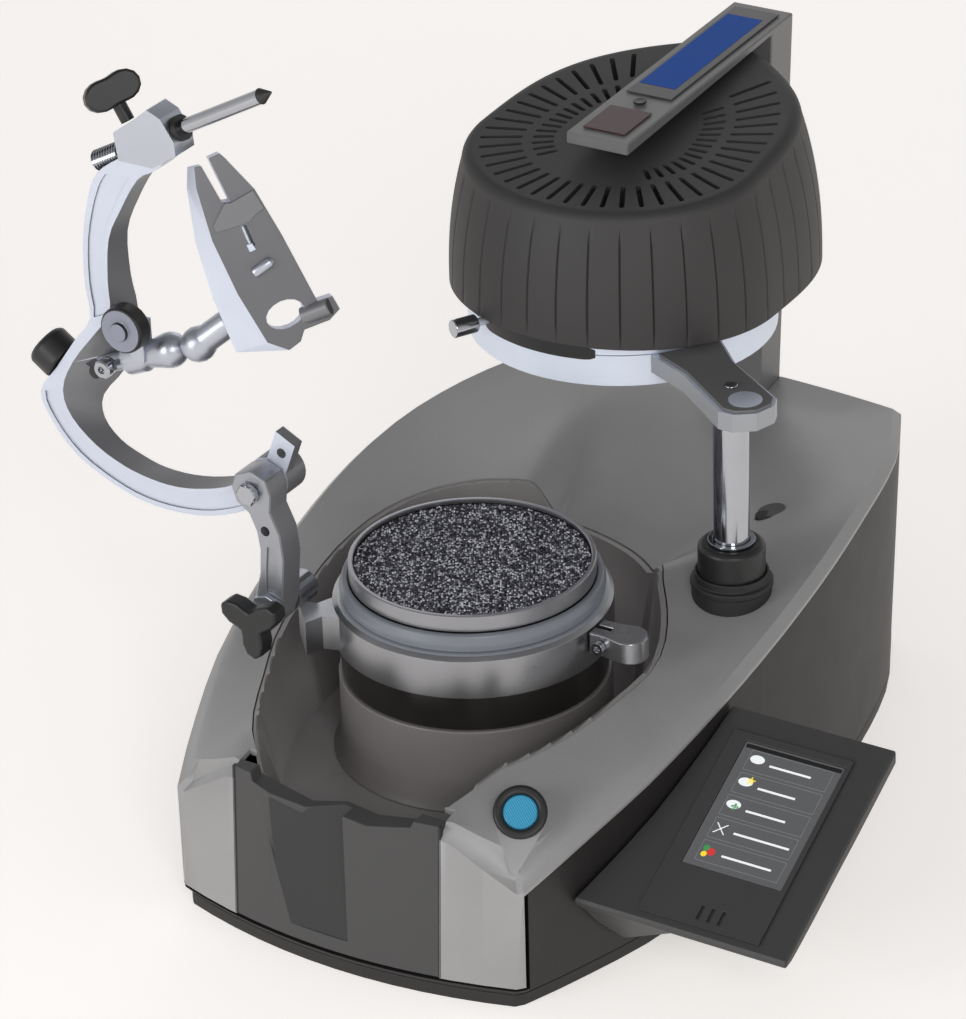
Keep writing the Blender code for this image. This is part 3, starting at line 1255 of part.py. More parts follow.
def make_console():
    sections = []
    for share, left_thick, right_thick in CONSOLE_SHARES:
        y = CONSOLE_FRONT + (CONSOLE_REAR - CONSOLE_FRONT) * share
        left = station(y)[0] + GAP
        top = console_top(y)
        sections.append([(left, y, top - left_thick * CONSOLE_THICK),
                         (CONSOLE_RIGHT, y, top - right_thick * CONSOLE_THICK),
                         (CONSOLE_RIGHT, y, top), (left, y, top)])
    item = place("console_body", loft("console_body", sections), "dark_case")
    bevel(item, RIM_WALL / 2, 1)
    tilt = Euler((math.atan(CONSOLE_SLOPE), 0.0, 0.0))
    stretch = math.hypot(1.0, CONSOLE_SLOPE)
    middle_y = (PANEL_REAR + PANEL_FRONT) / 2
    origin = ((PANEL_LEFT + PANEL_RIGHT) / 2, middle_y, console_top(middle_y))
    half_x = (PANEL_RIGHT - PANEL_LEFT) / 2
    half_y = (PANEL_REAR - PANEL_FRONT) / 2 * stretch
    panel = place("console_panel", box("console_panel", (-half_x, -half_y, GAP),
                                       (half_x, half_y, GAP + PANEL_THICK)), "dark_case", origin, tilt)
    screen_half_x, screen_half_y = SCREEN_WIDTH / 2, SCREEN_LENGTH / 2
    screen_spot = (SCREEN_X, SCREEN_Y, console_top(SCREEN_Y))
    window = box("screen_cut", (-screen_half_x - GAP, -screen_half_y - GAP, -OVERRUN),
                 (screen_half_x + GAP, screen_half_y + GAP, OVERRUN))
    boolean(panel, cutter("screen_cut", window, screen_spot, tilt))
    for index in (-1, 0, 1):
        x = VENT_X + index * VENT_STEP
        vent = box(f"vent_cut_{index + 2}", (-VENT_WIDTH / 2, -VENT_LENGTH / 2, -OVERRUN),
                   (VENT_WIDTH / 2, VENT_LENGTH / 2, OVERRUN))
        boolean(panel, cutter(vent.name, vent, (x, VENT_Y, console_top(VENT_Y)), tilt))
    glass = box("touch_screen", (-screen_half_x, -screen_half_y, GAP),
                (screen_half_x, screen_half_y, PANEL_THICK))
    place("touch_screen", glass, "screen", screen_spot, tilt)


# Start button

BUTTON_SPOT = Vector((BUTTON_X, BUTTON_Y, BUTTON_Z))
BUTTON_FACING = Vector(BUTTON_FACING_SHARES).normalized()
BUTTON_TURN = BUTTON_FACING.to_track_quat("Z", "Y").to_euler()


def boss_form():
    """A cone-like boss whose round face looks along the button's axis, pointed at its foot."""
    form = bmesh.new()
    turn = BUTTON_TURN.to_matrix()
    tip = Vector((BOSS_TIP_X, BOSS_TIP_Y, BOSS_TIP_Z))
    rings = ((BUTTON_SPOT, BOSS_RADIUS, 24), (BUTTON_SPOT - BUTTON_FACING * BOSS_DEPTH, BUTTON_FLANGE, 16),
             (tip, RIM_WALL, 8))
    for centre, radius, count in rings:
        for step in range(count):
            angle = 2 * math.pi * step / count
            spoke = Vector((radius * math.cos(angle), radius * math.sin(angle), 0.0))
            form.verts.new(centre + turn @ spoke)
    made = bmesh.ops.convex_hull(form, input=form.verts)
    loose = [piece for piece in made["geom_interior"] if isinstance(piece, bmesh.types.BMVert)]
    bmesh.ops.delete(form, geom=loose, context="VERTS")
    bmesh.ops.recalc_face_normals(form, faces=form.faces)
    return to_mesh("button_boss", form)


def make_button():
    inner = BUTTON_RADIUS + GAP
    top = BEZEL_HEIGHT * BEZEL_STEP_SHARE
    bezel = [(inner, GAP), (BEZEL_RADIUS, GAP), (BEZEL_RADIUS, top),
             (BEZEL_RADIUS - RIM_WALL / 2, BEZEL_HEIGHT), (inner + RIM_WALL / 2, BEZEL_HEIGHT),
             (inner, top)]
    ring_loop("button_bezel", bezel, "black", BUTTON_SPOT, 32, BUTTON_TURN)
    low = top - BUTTON_HEIGHT
    lens = [(0.0, top), (BUTTON_RADIUS, top), (BUTTON_RADIUS, -GAP), (BUTTON_FLANGE, -GAP),
            (BUTTON_FLANGE, low), (0.0, low)]
    turned("button_lens", lens, "lens", BUTTON_SPOT, 28, BUTTON_TURN)
    floor = -BOSS_DEPTH / 2
    top = low - BUTTON_TRAVEL - GAP
    switch = [(0.0, top), (SWITCH_RADIUS, top), (SWITCH_RADIUS, floor), (0.0, floor)]
    turned("button_switch", switch, "board", BUTTON_SPOT, 16, BUTTON_TURN)


# Jaw holder

def jaw_spot(shares):
    """A place (x, z) in the jaw holder's plane."""
    return shares[0] * JAW_SPAN, POT_TOP + shares[1] * JAW_SPAN


def jaw_slab(name, rows, front, rear):
    return slab(name, [jaw_spot(row) for row in rows], front, rear)


def jaw_bore(item, name, shares, radius):
    form = drum(name, radius, LINK_FRONT - 2 * OVERRUN, ARM_REAR + 2 * OVERRUN, jaw_spot(shares), 16, "Y")
    return boolean(item, cutter(name, form))


def wing_points(lobes, reach, hub):
    """The outline of a knob with round lobes."""
    points = []
    for step in range(24):
        angle = 2 * math.pi * step / 24
        swell = (0.5 + 0.5 * math.cos(lobes * angle)) ** WING_POWER
        radius = hub + (reach - hub) * swell
        points.append((radius * math.cos(angle), radius * math.sin(angle)))
    return points


def make_link():
    rear = ARM_FRONT - GAP
    item = place("jaw_link", jaw_slab("jaw_link", LINK_SHARES, LINK_FRONT, rear), "alloy")
    bevel(item, RIM_WALL / 3, 1)
    channel = jaw_slab("link_channel", LINK_CHANNEL_SHARES, LINK_FRONT - OVERRUN, LINK_FRONT + CHANNEL_DEPTH)
    boolean(item, cutter("link_channel", channel))
    jaw_bore(item, "link_hole", LINK_HOLE_SHARES, HOLE_RADIUS)
    jaw_bore(item, "link_base_bore", JAW_BASE_SHARES, HINGE_PIN_RADIUS + GAP)
    jaw_bore(item, "link_hinge_bore", JAW_HINGE_SHARES, HINGE_PIN_RADIUS + GAP)
    plate_rear = LINK_FRONT - GAP
    plate_front = plate_rear - CLAMP_PLATE_THICK
    form = jaw_slab("clamp_plate", CLAMP_PLATE_SHARES, plate_front, plate_rear)
    plate = place("clamp_plate", form, "alloy")
    bore = drum("clamp_plate_bore", HINGE_PIN_RADIUS + GAP, plate_front - OVERRUN, plate_rear + OVERRUN,
                jaw_spot(JAW_BASE_SHARES), 16, "Y")
    boolean(plate, cutter("clamp_plate_bore", bore))
    return item


def make_hinge_knobs():
    x, z = jaw_spot(JAW_BASE_SHARES)
    front = LINK_FRONT - CLAMP_PLATE_THICK - 2 * GAP
    origin = (x, front, z)
    forward = Euler((math.radians(90), KNOB_TURN, 0.0))
    form = prism("base_wing_knob", wing_points(3, WING_REACH, WING_HUB), OVERRUN, OVERRUN + WING_THICK)
    knob = place("base_wing_knob", form, "black", origin, forward)
    bevel(knob, RIM_WALL / 2, 1, math.radians(60))
    shaft = drum("base_shaft", HINGE_PIN_RADIUS, front - OVERRUN - WING_THICK / 2, ARM_REAR, (x, z), 16, "Y")
    boolean(knob, cutter("base_shaft", shaft), "UNION")
    x, z = jaw_spot(JAW_HINGE_SHARES)
    head = drum("hinge_bolt", HINGE_HEAD_RADIUS, -GAP - HINGE_HEAD_HEIGHT, -GAP, segments=6, axis="Y")
    bolt = place("hinge_bolt", head, "chrome", (x, LINK_FRONT, z))
    pin = drum("hinge_shaft", HINGE_PIN_RADIUS, LINK_FRONT - 2 * GAP, ARM_REAR, (x, z), 16, "Y")
    boolean(bolt, cutter("hinge_shaft", pin), "UNION")


def arm_rows(first, last):
    """The arm's sections between two rows of its table, on a smooth curve."""
    table = [(index, *row) for index, row in enumerate(ARM_SHARES)]
    steps = (last - first) * ARM_STEPS
    return [smooth(table, first + step / ARM_STEPS) for step in range(steps + 1)]


def make_jaw_arm():
    """The arm between its knuckle and its clamp, which stand a little proud of it."""
    front, rear = ARM_FRONT + ARM_SKIN, ARM_REAR - ARM_SKIN
    sections = []
    for row in arm_rows(0, len(ARM_SHARES) - 1):
        outer, near, far = jaw_spot(row[0:2]), jaw_spot(row[2:4]), jaw_spot(row[4:6])
        sections.append([(outer[0], front, outer[1]), (outer[0], rear, outer[1]),
                         (far[0], rear, far[1]), (near[0], front, near[1])])
    item = place("jaw_arm", loft("jaw_arm", sections), "alloy")
    centre = jaw_spot(JAW_HINGE_SHARES)
    finger_rear = ARM_FRONT + (ARM_REAR - ARM_FRONT) * FINGER_DEPTH_SHARE
    for form in (drum("arm_knuckle", KNUCKLE_RADIUS, ARM_FRONT, ARM_REAR, centre, 28, "Y"),
                 jaw_slab("stop_finger", FINGER_SHARES, ARM_FRONT + ARM_SKIN / 2, finger_rear),
                 jaw_slab("rod_clamp", CLAMP_SHARES, ARM_FRONT, ARM_REAR)):
        boolean(item, cutter(form.name, form), "UNION")
    for number, (first, last) in enumerate(CHANNEL_ROWS):
        rings = []
        for row in arm_rows(first, last):
            outer, near = Vector(jaw_spot(row[0:2])), Vector(jaw_spot(row[2:4]))
            high = outer.lerp(near, CHANNEL_EDGE_SHARE)
            low = near.lerp(outer, CHANNEL_EDGE_SHARE)
            rings.append([(high.x, front - OVERRUN, high.y), (high.x, front + CHANNEL_DEPTH, high.y),
                          (low.x, front + CHANNEL_DEPTH, low.y), (low.x, front - OVERRUN, low.y)])
        boolean(item, cutter(f"arm_channel_{number + 1}", loft(f"arm_channel_{number + 1}", rings)))
    jaw_bore(item, "arm_hinge_bore", JAW_HINGE_SHARES, HINGE_PIN_RADIUS + GAP)
    jaw_bore(item, "finger_bore", FINGER_HOLE_SHARES, HOLE_RADIUS)
    pin_bore = drum("pin_bore", PIN_THREAD_RADIUS + GAP, -OVERRUN, PIN_LENGTH / 2, segments=20)
    boolean(item, cutter("pin_bore", pin_bore, arm_place(PIN_START_SHARES), rise_turn(PIN_RISE)))
    stem_bore = drum("stem_bore", SWIVEL_STEM_RADIUS + GAP, -SWIVEL_LENGTH / 4, SWIVEL_LENGTH / 2,
                     segments=20)
    boolean(item, cutter("stem_bore", stem_bore, arm_place(SWIVEL_START_SHARES), rise_turn(SWIVEL_RISE)))
    return item


def arm_place(shares, y=(ARM_FRONT + ARM_REAR) / 2):
    x, z = jaw_spot(shares)
    return x, y, z


def rise_turn(rise):
    """Turn local Z to point right and up by an angle in the jaw holder's plane."""
    return Euler((0.0, math.radians(90) - rise, 0.0))


def make_pin():
    collar_end = PIN_SLEEVE_END + PIN_COLLAR_RADIUS / 2
    profile = [(0.0, PIN_LENGTH), (PIN_RADIUS, PIN_LENGTH - PIN_CONE), (PIN_RADIUS, collar_end),
               (PIN_COLLAR_RADIUS, collar_end), (PIN_COLLAR_RADIUS, PIN_SLEEVE_END),
               (PIN_SLEEVE_RADIUS, PIN_SLEEVE_END), (PIN_SLEEVE_RADIUS, PIN_THREAD),
               (PIN_THREAD_RADIUS, PIN_THREAD), (PIN_THREAD_RADIUS, 0.0), (0.0, 0.0)]
    turned("incisal_pin", profile, "chrome", arm_place(PIN_START_SHARES), 20, rise_turn(PIN_RISE))
    spot = arm_place(TOP_KNOB_SHARES)
    lean = Euler((0.0, TOP_KNOB_LEAN, 0.0))
    middle = TOP_STEM + WING_HUB
    bow = [(x, middle + z) for x, z in wing_points(2, WING_REACH * TOP_WING_REACH_SHARE, WING_HUB)]
    form = slab("top_wing_knob", bow, -WING_THICK / 2, WING_THICK / 2)
    turn = lean.to_matrix() @ Matrix.Rotation(TOP_KNOB_TURN, 3, "Z")
    knob = place("top_wing_knob", form, "black", spot, turn.to_euler())
    bevel(knob, RIM_WALL / 2, 1, math.radians(60))
    stem = drum("top_stem", WING_HUB / 2, RIM_WALL / 2, TOP_STEM + WING_THICK / 2, segments=16)
    boolean(knob, cutter("top_stem", stem, spot, lean), "UNION")


def make_side_knobs():
    first, last = Vector(jaw_spot(ARM_SHARES[8][0:2])), Vector(jaw_spot(ARM_SHARES[10][0:2]))
    along = (last - first).normalized()
    outward = Vector((-along.y, 0.0, along.x))
    turn = outward.to_track_quat("Z", "Y").to_euler()
    top = GAP + REAR_KNOB_HEIGHT
    profile = [(0.0, top), (REAR_KNOB_RADIUS - RIM_WALL, top), (REAR_KNOB_RADIUS, top - RIM_WALL),
               (REAR_KNOB_RADIUS, GAP), (0.0, GAP)]
    turned("rear_knob", profile, "black", arm_place(REAR_KNOB_SHARES), 24, turn)
    front_turn = Euler((math.radians(90), 0.0, 0.0))
    depth = ROUND_KNOB_REAR - ROUND_KNOB_FRONT
    shaft = -(ARM_FRONT - GAP - ROUND_KNOB_REAR)
    radius = ROUND_KNOB_RADIUS
    hub = radius * ROUND_KNOB_HUB_SHARE
    disc = [(0.0, depth + RIM_WALL), (hub, depth + RIM_WALL), (hub, depth), (radius - RIM_WALL / 2, depth),
            (radius, depth - RIM_WALL / 2), (radius, 0.0), (hub, 0.0), (hub, shaft), (0.0, shaft)]
    turned("round_knob", disc, "dark_steel", arm_place(ROUND_KNOB_SHARES, ROUND_KNOB_REAR), 28, front_turn)


def make_swivel():
    start = arm_place(SWIVEL_START_SHARES)
    collar, collar_edge = (SWIVEL_STEM_RADIUS * share for share in SWIVEL_COLLAR_SHARES)
    waist, collar_top, collar_low, foot = (SWIVEL_LENGTH * share for share in SWIVEL_PLACE_SHARES)
    end = SWIVEL_LENGTH + BALL_RADIUS
    profile = [(0.0, end)]
    for step in range(1, 6):
        angle = math.radians(20 * step)
        profile.append((BALL_RADIUS * math.sin(angle), SWIVEL_LENGTH + BALL_RADIUS * math.cos(angle)))
    profile += [(collar_edge, waist), (collar, collar_top), (collar, collar_low),
                (SWIVEL_STEM_RADIUS, foot), (SWIVEL_STEM_RADIUS, 0.0), (0.0, 0.0)]
    item = turned("swivel_bracket", profile, "alloy", start, 24, rise_turn(SWIVEL_RISE))
    x, z = jaw_spot(ROUND_KNOB_SHARES)
    web_half = NECK_RADIUS
    foot = start[2] + (x - start[0]) * math.tan(SWIVEL_RISE)
    web = box("swivel_web", (x - web_half, ARM_FRONT, foot), (x + web_half, ARM_REAR - 2 * web_half, z))
    boolean(item, cutter("swivel_web", web), "UNION")


def stem_ball():
    """The middle of the ball at the swivel's end, which the model plate tilts on."""
    way = Vector((math.cos(SWIVEL_RISE), 0.0, math.sin(SWIVEL_RISE)))
    return Vector(arm_place(SWIVEL_START_SHARES)) + way * (SWIVEL_LENGTH + 2 * BALL_RADIUS + GAP)


def make_plate():
    """The model plate, whose left side spreads towards its back, and the stem behind it."""
    long_way = Vector(PLATE_LONG_SHARES).normalized()
    face = Vector(PLATE_FACE_SHARES).normalized()
    across = long_way.cross(face).normalized()
    x, z = jaw_spot(PLATE_CENTRE_SHARES)
    centre = Vector((x, PLATE_CENTRE_Y, z))
    turn = Matrix((across, long_way, face)).transposed().to_euler()
    outline_points = [(u * JAW_SPAN, v * JAW_SPAN) for u, v in PLATE_SHARES]
    top, bottom = max(y for _, y in outline_points[-4:]), outline_points[0][1]
    back = []
    for x, y in outline_points:
        share = min(max((top - y) / (top - bottom), 0.0), 1.0)
        flare = PLATE_FLARE_TOP + (PLATE_FLARE_FOOT - PLATE_FLARE_TOP) * share
        back.append((x - flare if x <= PLATE_FLARE_FROM_SHARE * JAW_SPAN else x, y))
    rings = [[(x, y, -PLATE_THICK / 2) for x, y in back],
             [(x, y, PLATE_THICK / 2) for x, y in outline_points]]
    plate = place("model_plate", loft("model_plate", rings), "alloy", centre, turn)
    u, v = (share * JAW_SPAN for share in PLATE_OVAL_SHARES)
    oval = []
    for step in range(16):
        angle = 2 * math.pi * step / 16
        oval.append((u + PLATE_OVAL_REACH * math.cos(angle), v + PLATE_OVAL_RADIUS * math.sin(angle)))
    boolean(plate, cutter("plate_oval", prism("plate_oval", oval, -PLATE_THICK, PLATE_THICK), centre, turn))
    u, v = (share * JAW_SPAN for share in PLATE_SLOT_SHARES)
    slot = box("plate_slot", (u - PLATE_SLOT_WIDTH / 2, v - PLATE_SLOT_LENGTH / 2, 0.0),
               (u + PLATE_SLOT_WIDTH / 2, v + PLATE_SLOT_LENGTH / 2, PLATE_THICK))
    boolean(plate, cutter("plate_slot", slot, centre, turn))
    neck = NECK_RADIUS * NECK_BALL_SHARE
    make_stem(centre - long_way * (PLATE_SLOT_LENGTH * 2) - face * (PLATE_THICK / 2 + GAP + neck), neck)


def make_stem(aim, neck):
    ball = stem_ball()
    way = aim - ball
    length = way.length
    stem = [(0.0, length + neck)]
    for step in range(1, 5):
        angle = math.radians(30 * step)
        stem.append((neck * math.sin(angle), length + neck * math.cos(angle)))
    stem += [(NECK_RADIUS, length - neck), (NECK_RADIUS, STEM_LENGTH + RIM_WALL),
             (STEM_RADIUS, STEM_LENGTH), (STEM_RADIUS, BALL_RADIUS * STEM_FOOT_SHARE)]
    for step in range(3, 10):
        angle = math.radians(20 * step)
        stem.append((BALL_RADIUS * math.sin(angle) if step < 9 else 0.0, BALL_RADIUS * math.cos(angle)))
    turned("plate_stem", stem, "alloy", ball, 24, way.to_track_quat("Z", "Y").to_euler())


# Pieces inside

def make_insides():
    pump_z = BAY_FLOOR + PUMP_RADIUS
    pump = drum("vacuum_pump", PUMP_RADIUS, PUMP_FRONT, PUMP_REAR, (PUMP_X, pump_z), 20, "Y")
    place("vacuum_pump", pump, "alloy")
    motor = drum("pump_motor", MOTOR_RADIUS, PUMP_REAR + GAP, MOTOR_REAR, (PUMP_X, pump_z), 20, "Y")
    place("pump_motor", motor, "black")
    board = box("control_board", (BOARD_LEFT, BOARD_FRONT, BAY_FLOOR),
                (BOARD_RIGHT, BOARD_REAR, BAY_FLOOR + BOARD_THICK))
    place("control_board", board, "board")
    supply = box("power_supply", (-SUPPLY_HALF, SUPPLY_FRONT, BAY_FLOOR),
                 (SUPPLY_HALF, SUPPLY_REAR, BAY_FLOOR + SUPPLY_HEIGHT))
    place("power_supply", supply, "alloy")
    top = POT_SKIRT_BASE - NOZZLE_LENGTH - GAP
    path = [Vector((0.0, 0.0, top)), Vector((0.0, 0.0, HOSE_BEND_Z + 2 * HOSE_RADIUS))]
    corner = Vector((0.0, 0.0, HOSE_BEND_Z))
    out = Vector((PUMP_X / 3, PUMP_FRONT / 3, HOSE_BEND_Z))
    for step in range(1, HOSE_STEPS + 1):
        share = step / HOSE_STEPS
        path.append(path[1].lerp(corner, share).lerp(corner.lerp(out, share), share))
    path.append(Vector((PUMP_X * HOSE_END_SHARE, PUMP_FRONT * HOSE_END_SHARE, pump_z)))
    path.append(Vector((PUMP_X, PUMP_FRONT - GAP, pump_z)))
    rings = []
    for index, spot in enumerate(path):
        before, after = path[max(index - 1, 0)], path[min(index + 1, len(path) - 1)]
        way = (after - before).normalized()
        if index == 0:
            way = Vector((0.0, 0.0, -1.0))
        if index == len(path) - 1:
            way = Vector((0.0, 1.0, 0.0))
        side = way.cross(Vector((1.0, 0.0, 0.0))).normalized()
        up = side.cross(way)
        rings.append([spot + HOSE_RADIUS * (side * math.cos(turn) + up * math.sin(turn))
                      for turn in [2 * math.pi * step / 12 for step in range(12)]])
    place("vacuum_hose", loft("vacuum_hose", rings), "black")
    inlet_rear = BODY_REAR + STERN * INLET_REAR_SHARE
    form = box("mains_inlet", (INLET_X - INLET_HALF, inlet_rear - INLET_DEPTH, INLET_LOW),
               (INLET_X + INLET_HALF, inlet_rear, INLET_HIGH))
    inlet = place("mains_inlet", form, "black")
    wall = RIM_WALL * 2
    socket = box("inlet_socket", (INLET_X - INLET_HALF + wall, inlet_rear - INLET_SOCKET, INLET_LOW + wall),
                 (INLET_X + INLET_HALF - wall, inlet_rear + OVERRUN, INLET_HIGH - wall))
    boolean(inlet, cutter("inlet_socket", socket))


def cut_inlet(item):
    rear = BODY_REAR + STERN
    hole = box("inlet_cut", (INLET_X - INLET_HALF - GAP, rear - INLET_DEPTH, INLET_LOW - GAP),
               (INLET_X + INLET_HALF + GAP, rear + OVERRUN, INLET_HIGH + GAP))
    boolean(item, cutter("inlet_cut", hole))


def carry(name, spot, names):
    """Hang pieces on an empty on their joint's axis, and leave them where they are."""
    empty = bpy.data.objects.new(name, None)
    empty.location = spot
    PARTS.objects.link(empty)
    bpy.context.view_layer.update()
    for child in names:
        hang(PARTS.objects[child], empty)
    return empty


def hang(item, carrier):
    bpy.context.view_layer.update()
    item.parent = carrier
    item.matrix_parent_inverse = carrier.matrix_world.inverted()


def make_all():
    make_base_plate()
    cut_inlet(make_lower_housing())
    make_top_cover()
    make_front_insert()
    make_tub()
    make_pot_seat()
    make_pot()
    make_handle()
    make_post()
    make_arm(make_foil_ring())
    make_hood()
    make_tower()
    make_bar_details()
    make_heater()
    make_console()
    make_button()
    make_link()
    make_hinge_knobs()
    make_jaw_arm()
    make_pin()
    make_side_knobs()
    make_swivel()
    make_plate()
    make_insides()


def hang_all():
    post = (POST_X, POST_Y, 0.0)
    base_x, base_z = jaw_spot(JAW_BASE_SHARES)
    hinge_x, hinge_z = jaw_spot(JAW_HINGE_SHARES)
    lift = carry("lift_axis", post, ["lift_piston"])
    swing = carry("swing_axis", post, ["lift_rod", "foil_ring", "arm_plate", "arm_screw"])
    lock = carry("lock_axis", (REST_X, REST_Y, 0.0), ["lock_ring", "lever_knob"])
    pot = carry("pot_axis", (0.0, 0.0, 0.0), ["pot_cup", "granulate", "seal_ring", "flange_ring",
                                             "pot_handle", "handle_screw"])
    base = carry("jaw_base_axis", (base_x, ARM_FRONT, base_z), ["jaw_link", "clamp_plate", "base_wing_knob",
                                                              "hinge_bolt"])
    jaw = carry("jaw_arm_axis", (hinge_x, ARM_FRONT, hinge_z), ["jaw_arm", "incisal_pin", "top_wing_knob",
                                                               "rear_knob", "round_knob", "swivel_bracket"])
    ball = PARTS.objects["plate_stem"].location
    plate = carry("plate_axis", ball, ["plate_stem", "model_plate"])
    for child, carrier in ((swing, lift), (lock, swing), (base, pot), (jaw, base), (plate, jaw)):
        hang(child, carrier)
    for follower, item in FOLLOWERS:
        hang(follower, item)


make_all()
hang_all()
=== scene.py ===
"""Looks of the dental vacuum former: finishes, softened edges, beads, grooves and the lit screen.

Metres, in the frame of the CAD model: +Z up, +Y towards the heater tower, +X towards the console.
"""
import json
import math
import random

import bmesh
import bpy
from mathutils import Matrix, Vector
from mathutils.bvhtree import BVHTree
from mathutils.kdtree import KDTree

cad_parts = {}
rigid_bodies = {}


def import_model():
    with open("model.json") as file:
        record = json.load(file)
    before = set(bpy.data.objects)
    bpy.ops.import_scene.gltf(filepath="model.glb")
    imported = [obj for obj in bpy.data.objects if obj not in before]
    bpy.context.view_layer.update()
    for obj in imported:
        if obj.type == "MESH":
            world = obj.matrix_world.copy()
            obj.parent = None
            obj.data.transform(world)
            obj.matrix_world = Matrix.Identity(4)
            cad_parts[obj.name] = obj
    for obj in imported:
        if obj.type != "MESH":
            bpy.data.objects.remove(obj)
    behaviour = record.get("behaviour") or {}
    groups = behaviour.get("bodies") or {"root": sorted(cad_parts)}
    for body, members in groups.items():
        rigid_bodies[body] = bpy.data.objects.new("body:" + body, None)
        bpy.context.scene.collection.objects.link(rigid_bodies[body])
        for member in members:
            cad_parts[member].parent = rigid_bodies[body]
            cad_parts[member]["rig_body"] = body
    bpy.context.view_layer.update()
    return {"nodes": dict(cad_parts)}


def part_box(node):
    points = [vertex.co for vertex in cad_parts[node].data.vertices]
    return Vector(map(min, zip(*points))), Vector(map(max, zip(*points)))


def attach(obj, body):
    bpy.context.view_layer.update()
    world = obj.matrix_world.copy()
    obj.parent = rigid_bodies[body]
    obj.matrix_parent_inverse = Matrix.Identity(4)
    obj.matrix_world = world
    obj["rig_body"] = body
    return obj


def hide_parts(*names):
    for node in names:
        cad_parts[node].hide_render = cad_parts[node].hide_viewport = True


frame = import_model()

NODES = frame["nodes"]
UP, FORWARD = (0.0, 0.0, 1.0), (0.0, -1.0, 0.0)

# Reading the CAD. Values named SHARP or WITHIN are in degrees.
WELD = 0.00001
FLAT_WITHIN = 0.4
UPWARD = 0.5
FACING = 0.9

# Camera of the photograph, aimed at the middle of the granulate
CAMERA_TURN = math.radians(32.27)
CAMERA_RISE = math.radians(28.14)
CAMERA_ROLL = math.radians(-1.9)
CAMERA_AWAY = 1.95722
CAMERA_ASIDE = 0.00473
CAMERA_ABOVE = 0.02136
CAMERA_REACH = 20.0
LENS_MM = 158.74

# Studio. A lamp has a place, a size, a power and a colour.
SKY_STOPS = ((0.0, (1.0, 1.0, 1.0, 1.0)), (0.75, (0.26, 0.26, 0.27, 1.0)))
SKY_STRENGTH = 0.85
LAMP_AIM = (0.0, 0.05, 0.12)
LAMPS = {
    "key": ((-0.7, -1.9, 0.8), 0.8, 12.0, (0.97, 0.98, 1.0)),
    "side": ((1.3, -1.5, 1.3), 0.7, 11.0, (1.0, 1.0, 1.0)),
    "rear": ((-0.7, 1.5, 0.9), 0.7, 1.5, (1.0, 1.0, 1.0)),
}
FLOOR_HALF = 6.0
FLOOR_COLOUR = (0.80, 0.78, 0.76)
FLOOR_ROUGHNESS = 0.9
FLOOR_SPREAD = 0.01
FLOOR_GLOW = (1.0, 0.965, 0.93, 1.0)
FLOOR_STRENGTH = 0.53

# Finishes
WIDE_DETAIL, FINE_DETAIL = 3.0, 2.0
FLECK_FROM, FLECK_TO = 0.50, 0.80
LEAST_ROUGHNESS = 0.02
BEAD_STOPS = ((0.0, (0.012, 0.012, 0.016, 1.0)), (0.95, (0.78, 0.78, 0.84, 1.0)),
              (0.55, (0.13, 0.13, 0.155, 1.0)))
LENS_STOPS = ((0.0, (0.004, 0.09, 0.19, 1.0)), (1.0, (0.07, 0.40, 0.60, 1.0)))
LENS_RIM = (0.003, 0.012, 0.030, 1.0)
LENS_LINES = 520.0
LENS_WOBBLE = 0.4
LENS_STRENGTH = 0.30
LENS_GLOW_RADIUS = 0.0066
LENS_GLOW_FADE = 0.0016
LIT_ROUGHNESS = 0.35

# Shading
SHARP = 32
NEAR_WEIGHT = 1.02
SHADED_AGAIN = {
    "jaw_arm": (0.006, 32), "jaw_link": (0.006, 32), "model_plate": (0.020, 30), "flange_ring": (0.006, 30),
}
DECK_EDGE = 0.0008
DECK_SHARP = 50
DECK_GENTLE = 0.75
DECK_BLEND = 0.006
DECK_ALIKE = 0.88
DECK_CUTS = 2
DECK_STEEP = 0.3
DECK_SPECK = 0.0000006

# Faces that get another finish by where they look and where they are: painted highlight and painted shade on
# the jaw arm, jaw link and model plate, another alloy on the foil ring's arm and a pale face on the round
# knob
JAW_FRONT = -0.85
CLAMP_FOOT = 0.318
LINK_SIDE = 0.6
PLATE_FACING = 0.97
RIM_MARGIN = 0.001
KNOB_FACE_DEPTH = 0.0045

# Foil ring, its arm and the lever's slot
RING_CENTRE_Y = 0.134
RIM_RADIUS = 0.070
POST_XY = (0.092, 0.067)
DISC_AWAY = 0.0142
DISC_RADIUS = 0.0074
DISC_CROWN = 0.0006
DISC_EDGE = 0.0002
DISC_FOOT = -0.0012
DISC_STEPS = 6
LEVER_FROM, LEVER_TO = -120.0, -70.0
LEVER_STEPS = 24
LEVER_SLOT_TRIM = 0.0008
LEVER_END_TRIMS = (2.5, 1.3)
LEVER_SLOT_DROP = 0.0034
LEVER_SHARP = 40
SLOT_PROUD = 0.00015

# Model plate, with the CAD plate's place. Its small parts are given across it, along it and over it.
PLATE_CENTRE = (-0.082, -0.040, 0.286)
PLATE_LONG = (-0.4108, 0.0, 0.9117)
PLATE_FACE = (0.6585, -0.6917, 0.2966)
PLATE_HALF = 0.0045
PLATE_SHARP = 30
PLATE_PRISMS = {
    "plate_clip": ("clip_face", (
        (-0.0082, 0.0190), (-0.0003, 0.0259), (0.0027, 0.0251), (0.0132, 0.0263), (0.0146, 0.0170),
        (0.0121, 0.0167), (0.0093, 0.0157), (0.0069, 0.0143), (0.0030, 0.0145), (-0.0023, 0.0149),
        (-0.0084, 0.0160)), -0.0002, 0.0007, 0.0003),
    "plate_rail": ("alloy", (
        (0.0024, 0.0045), (0.0036, 0.0045), (0.0036, 0.0138), (0.0024, 0.0138)), -0.0018, -0.0004, 0.0002),
    "plate_block": ("bright_alloy_and_highlight", (
        (0.0016, 0.0025), (0.0046, 0.0025), (0.0040, 0.0058), (0.0014, 0.0060)), -0.0006, 0.0009, 0.0003),
}
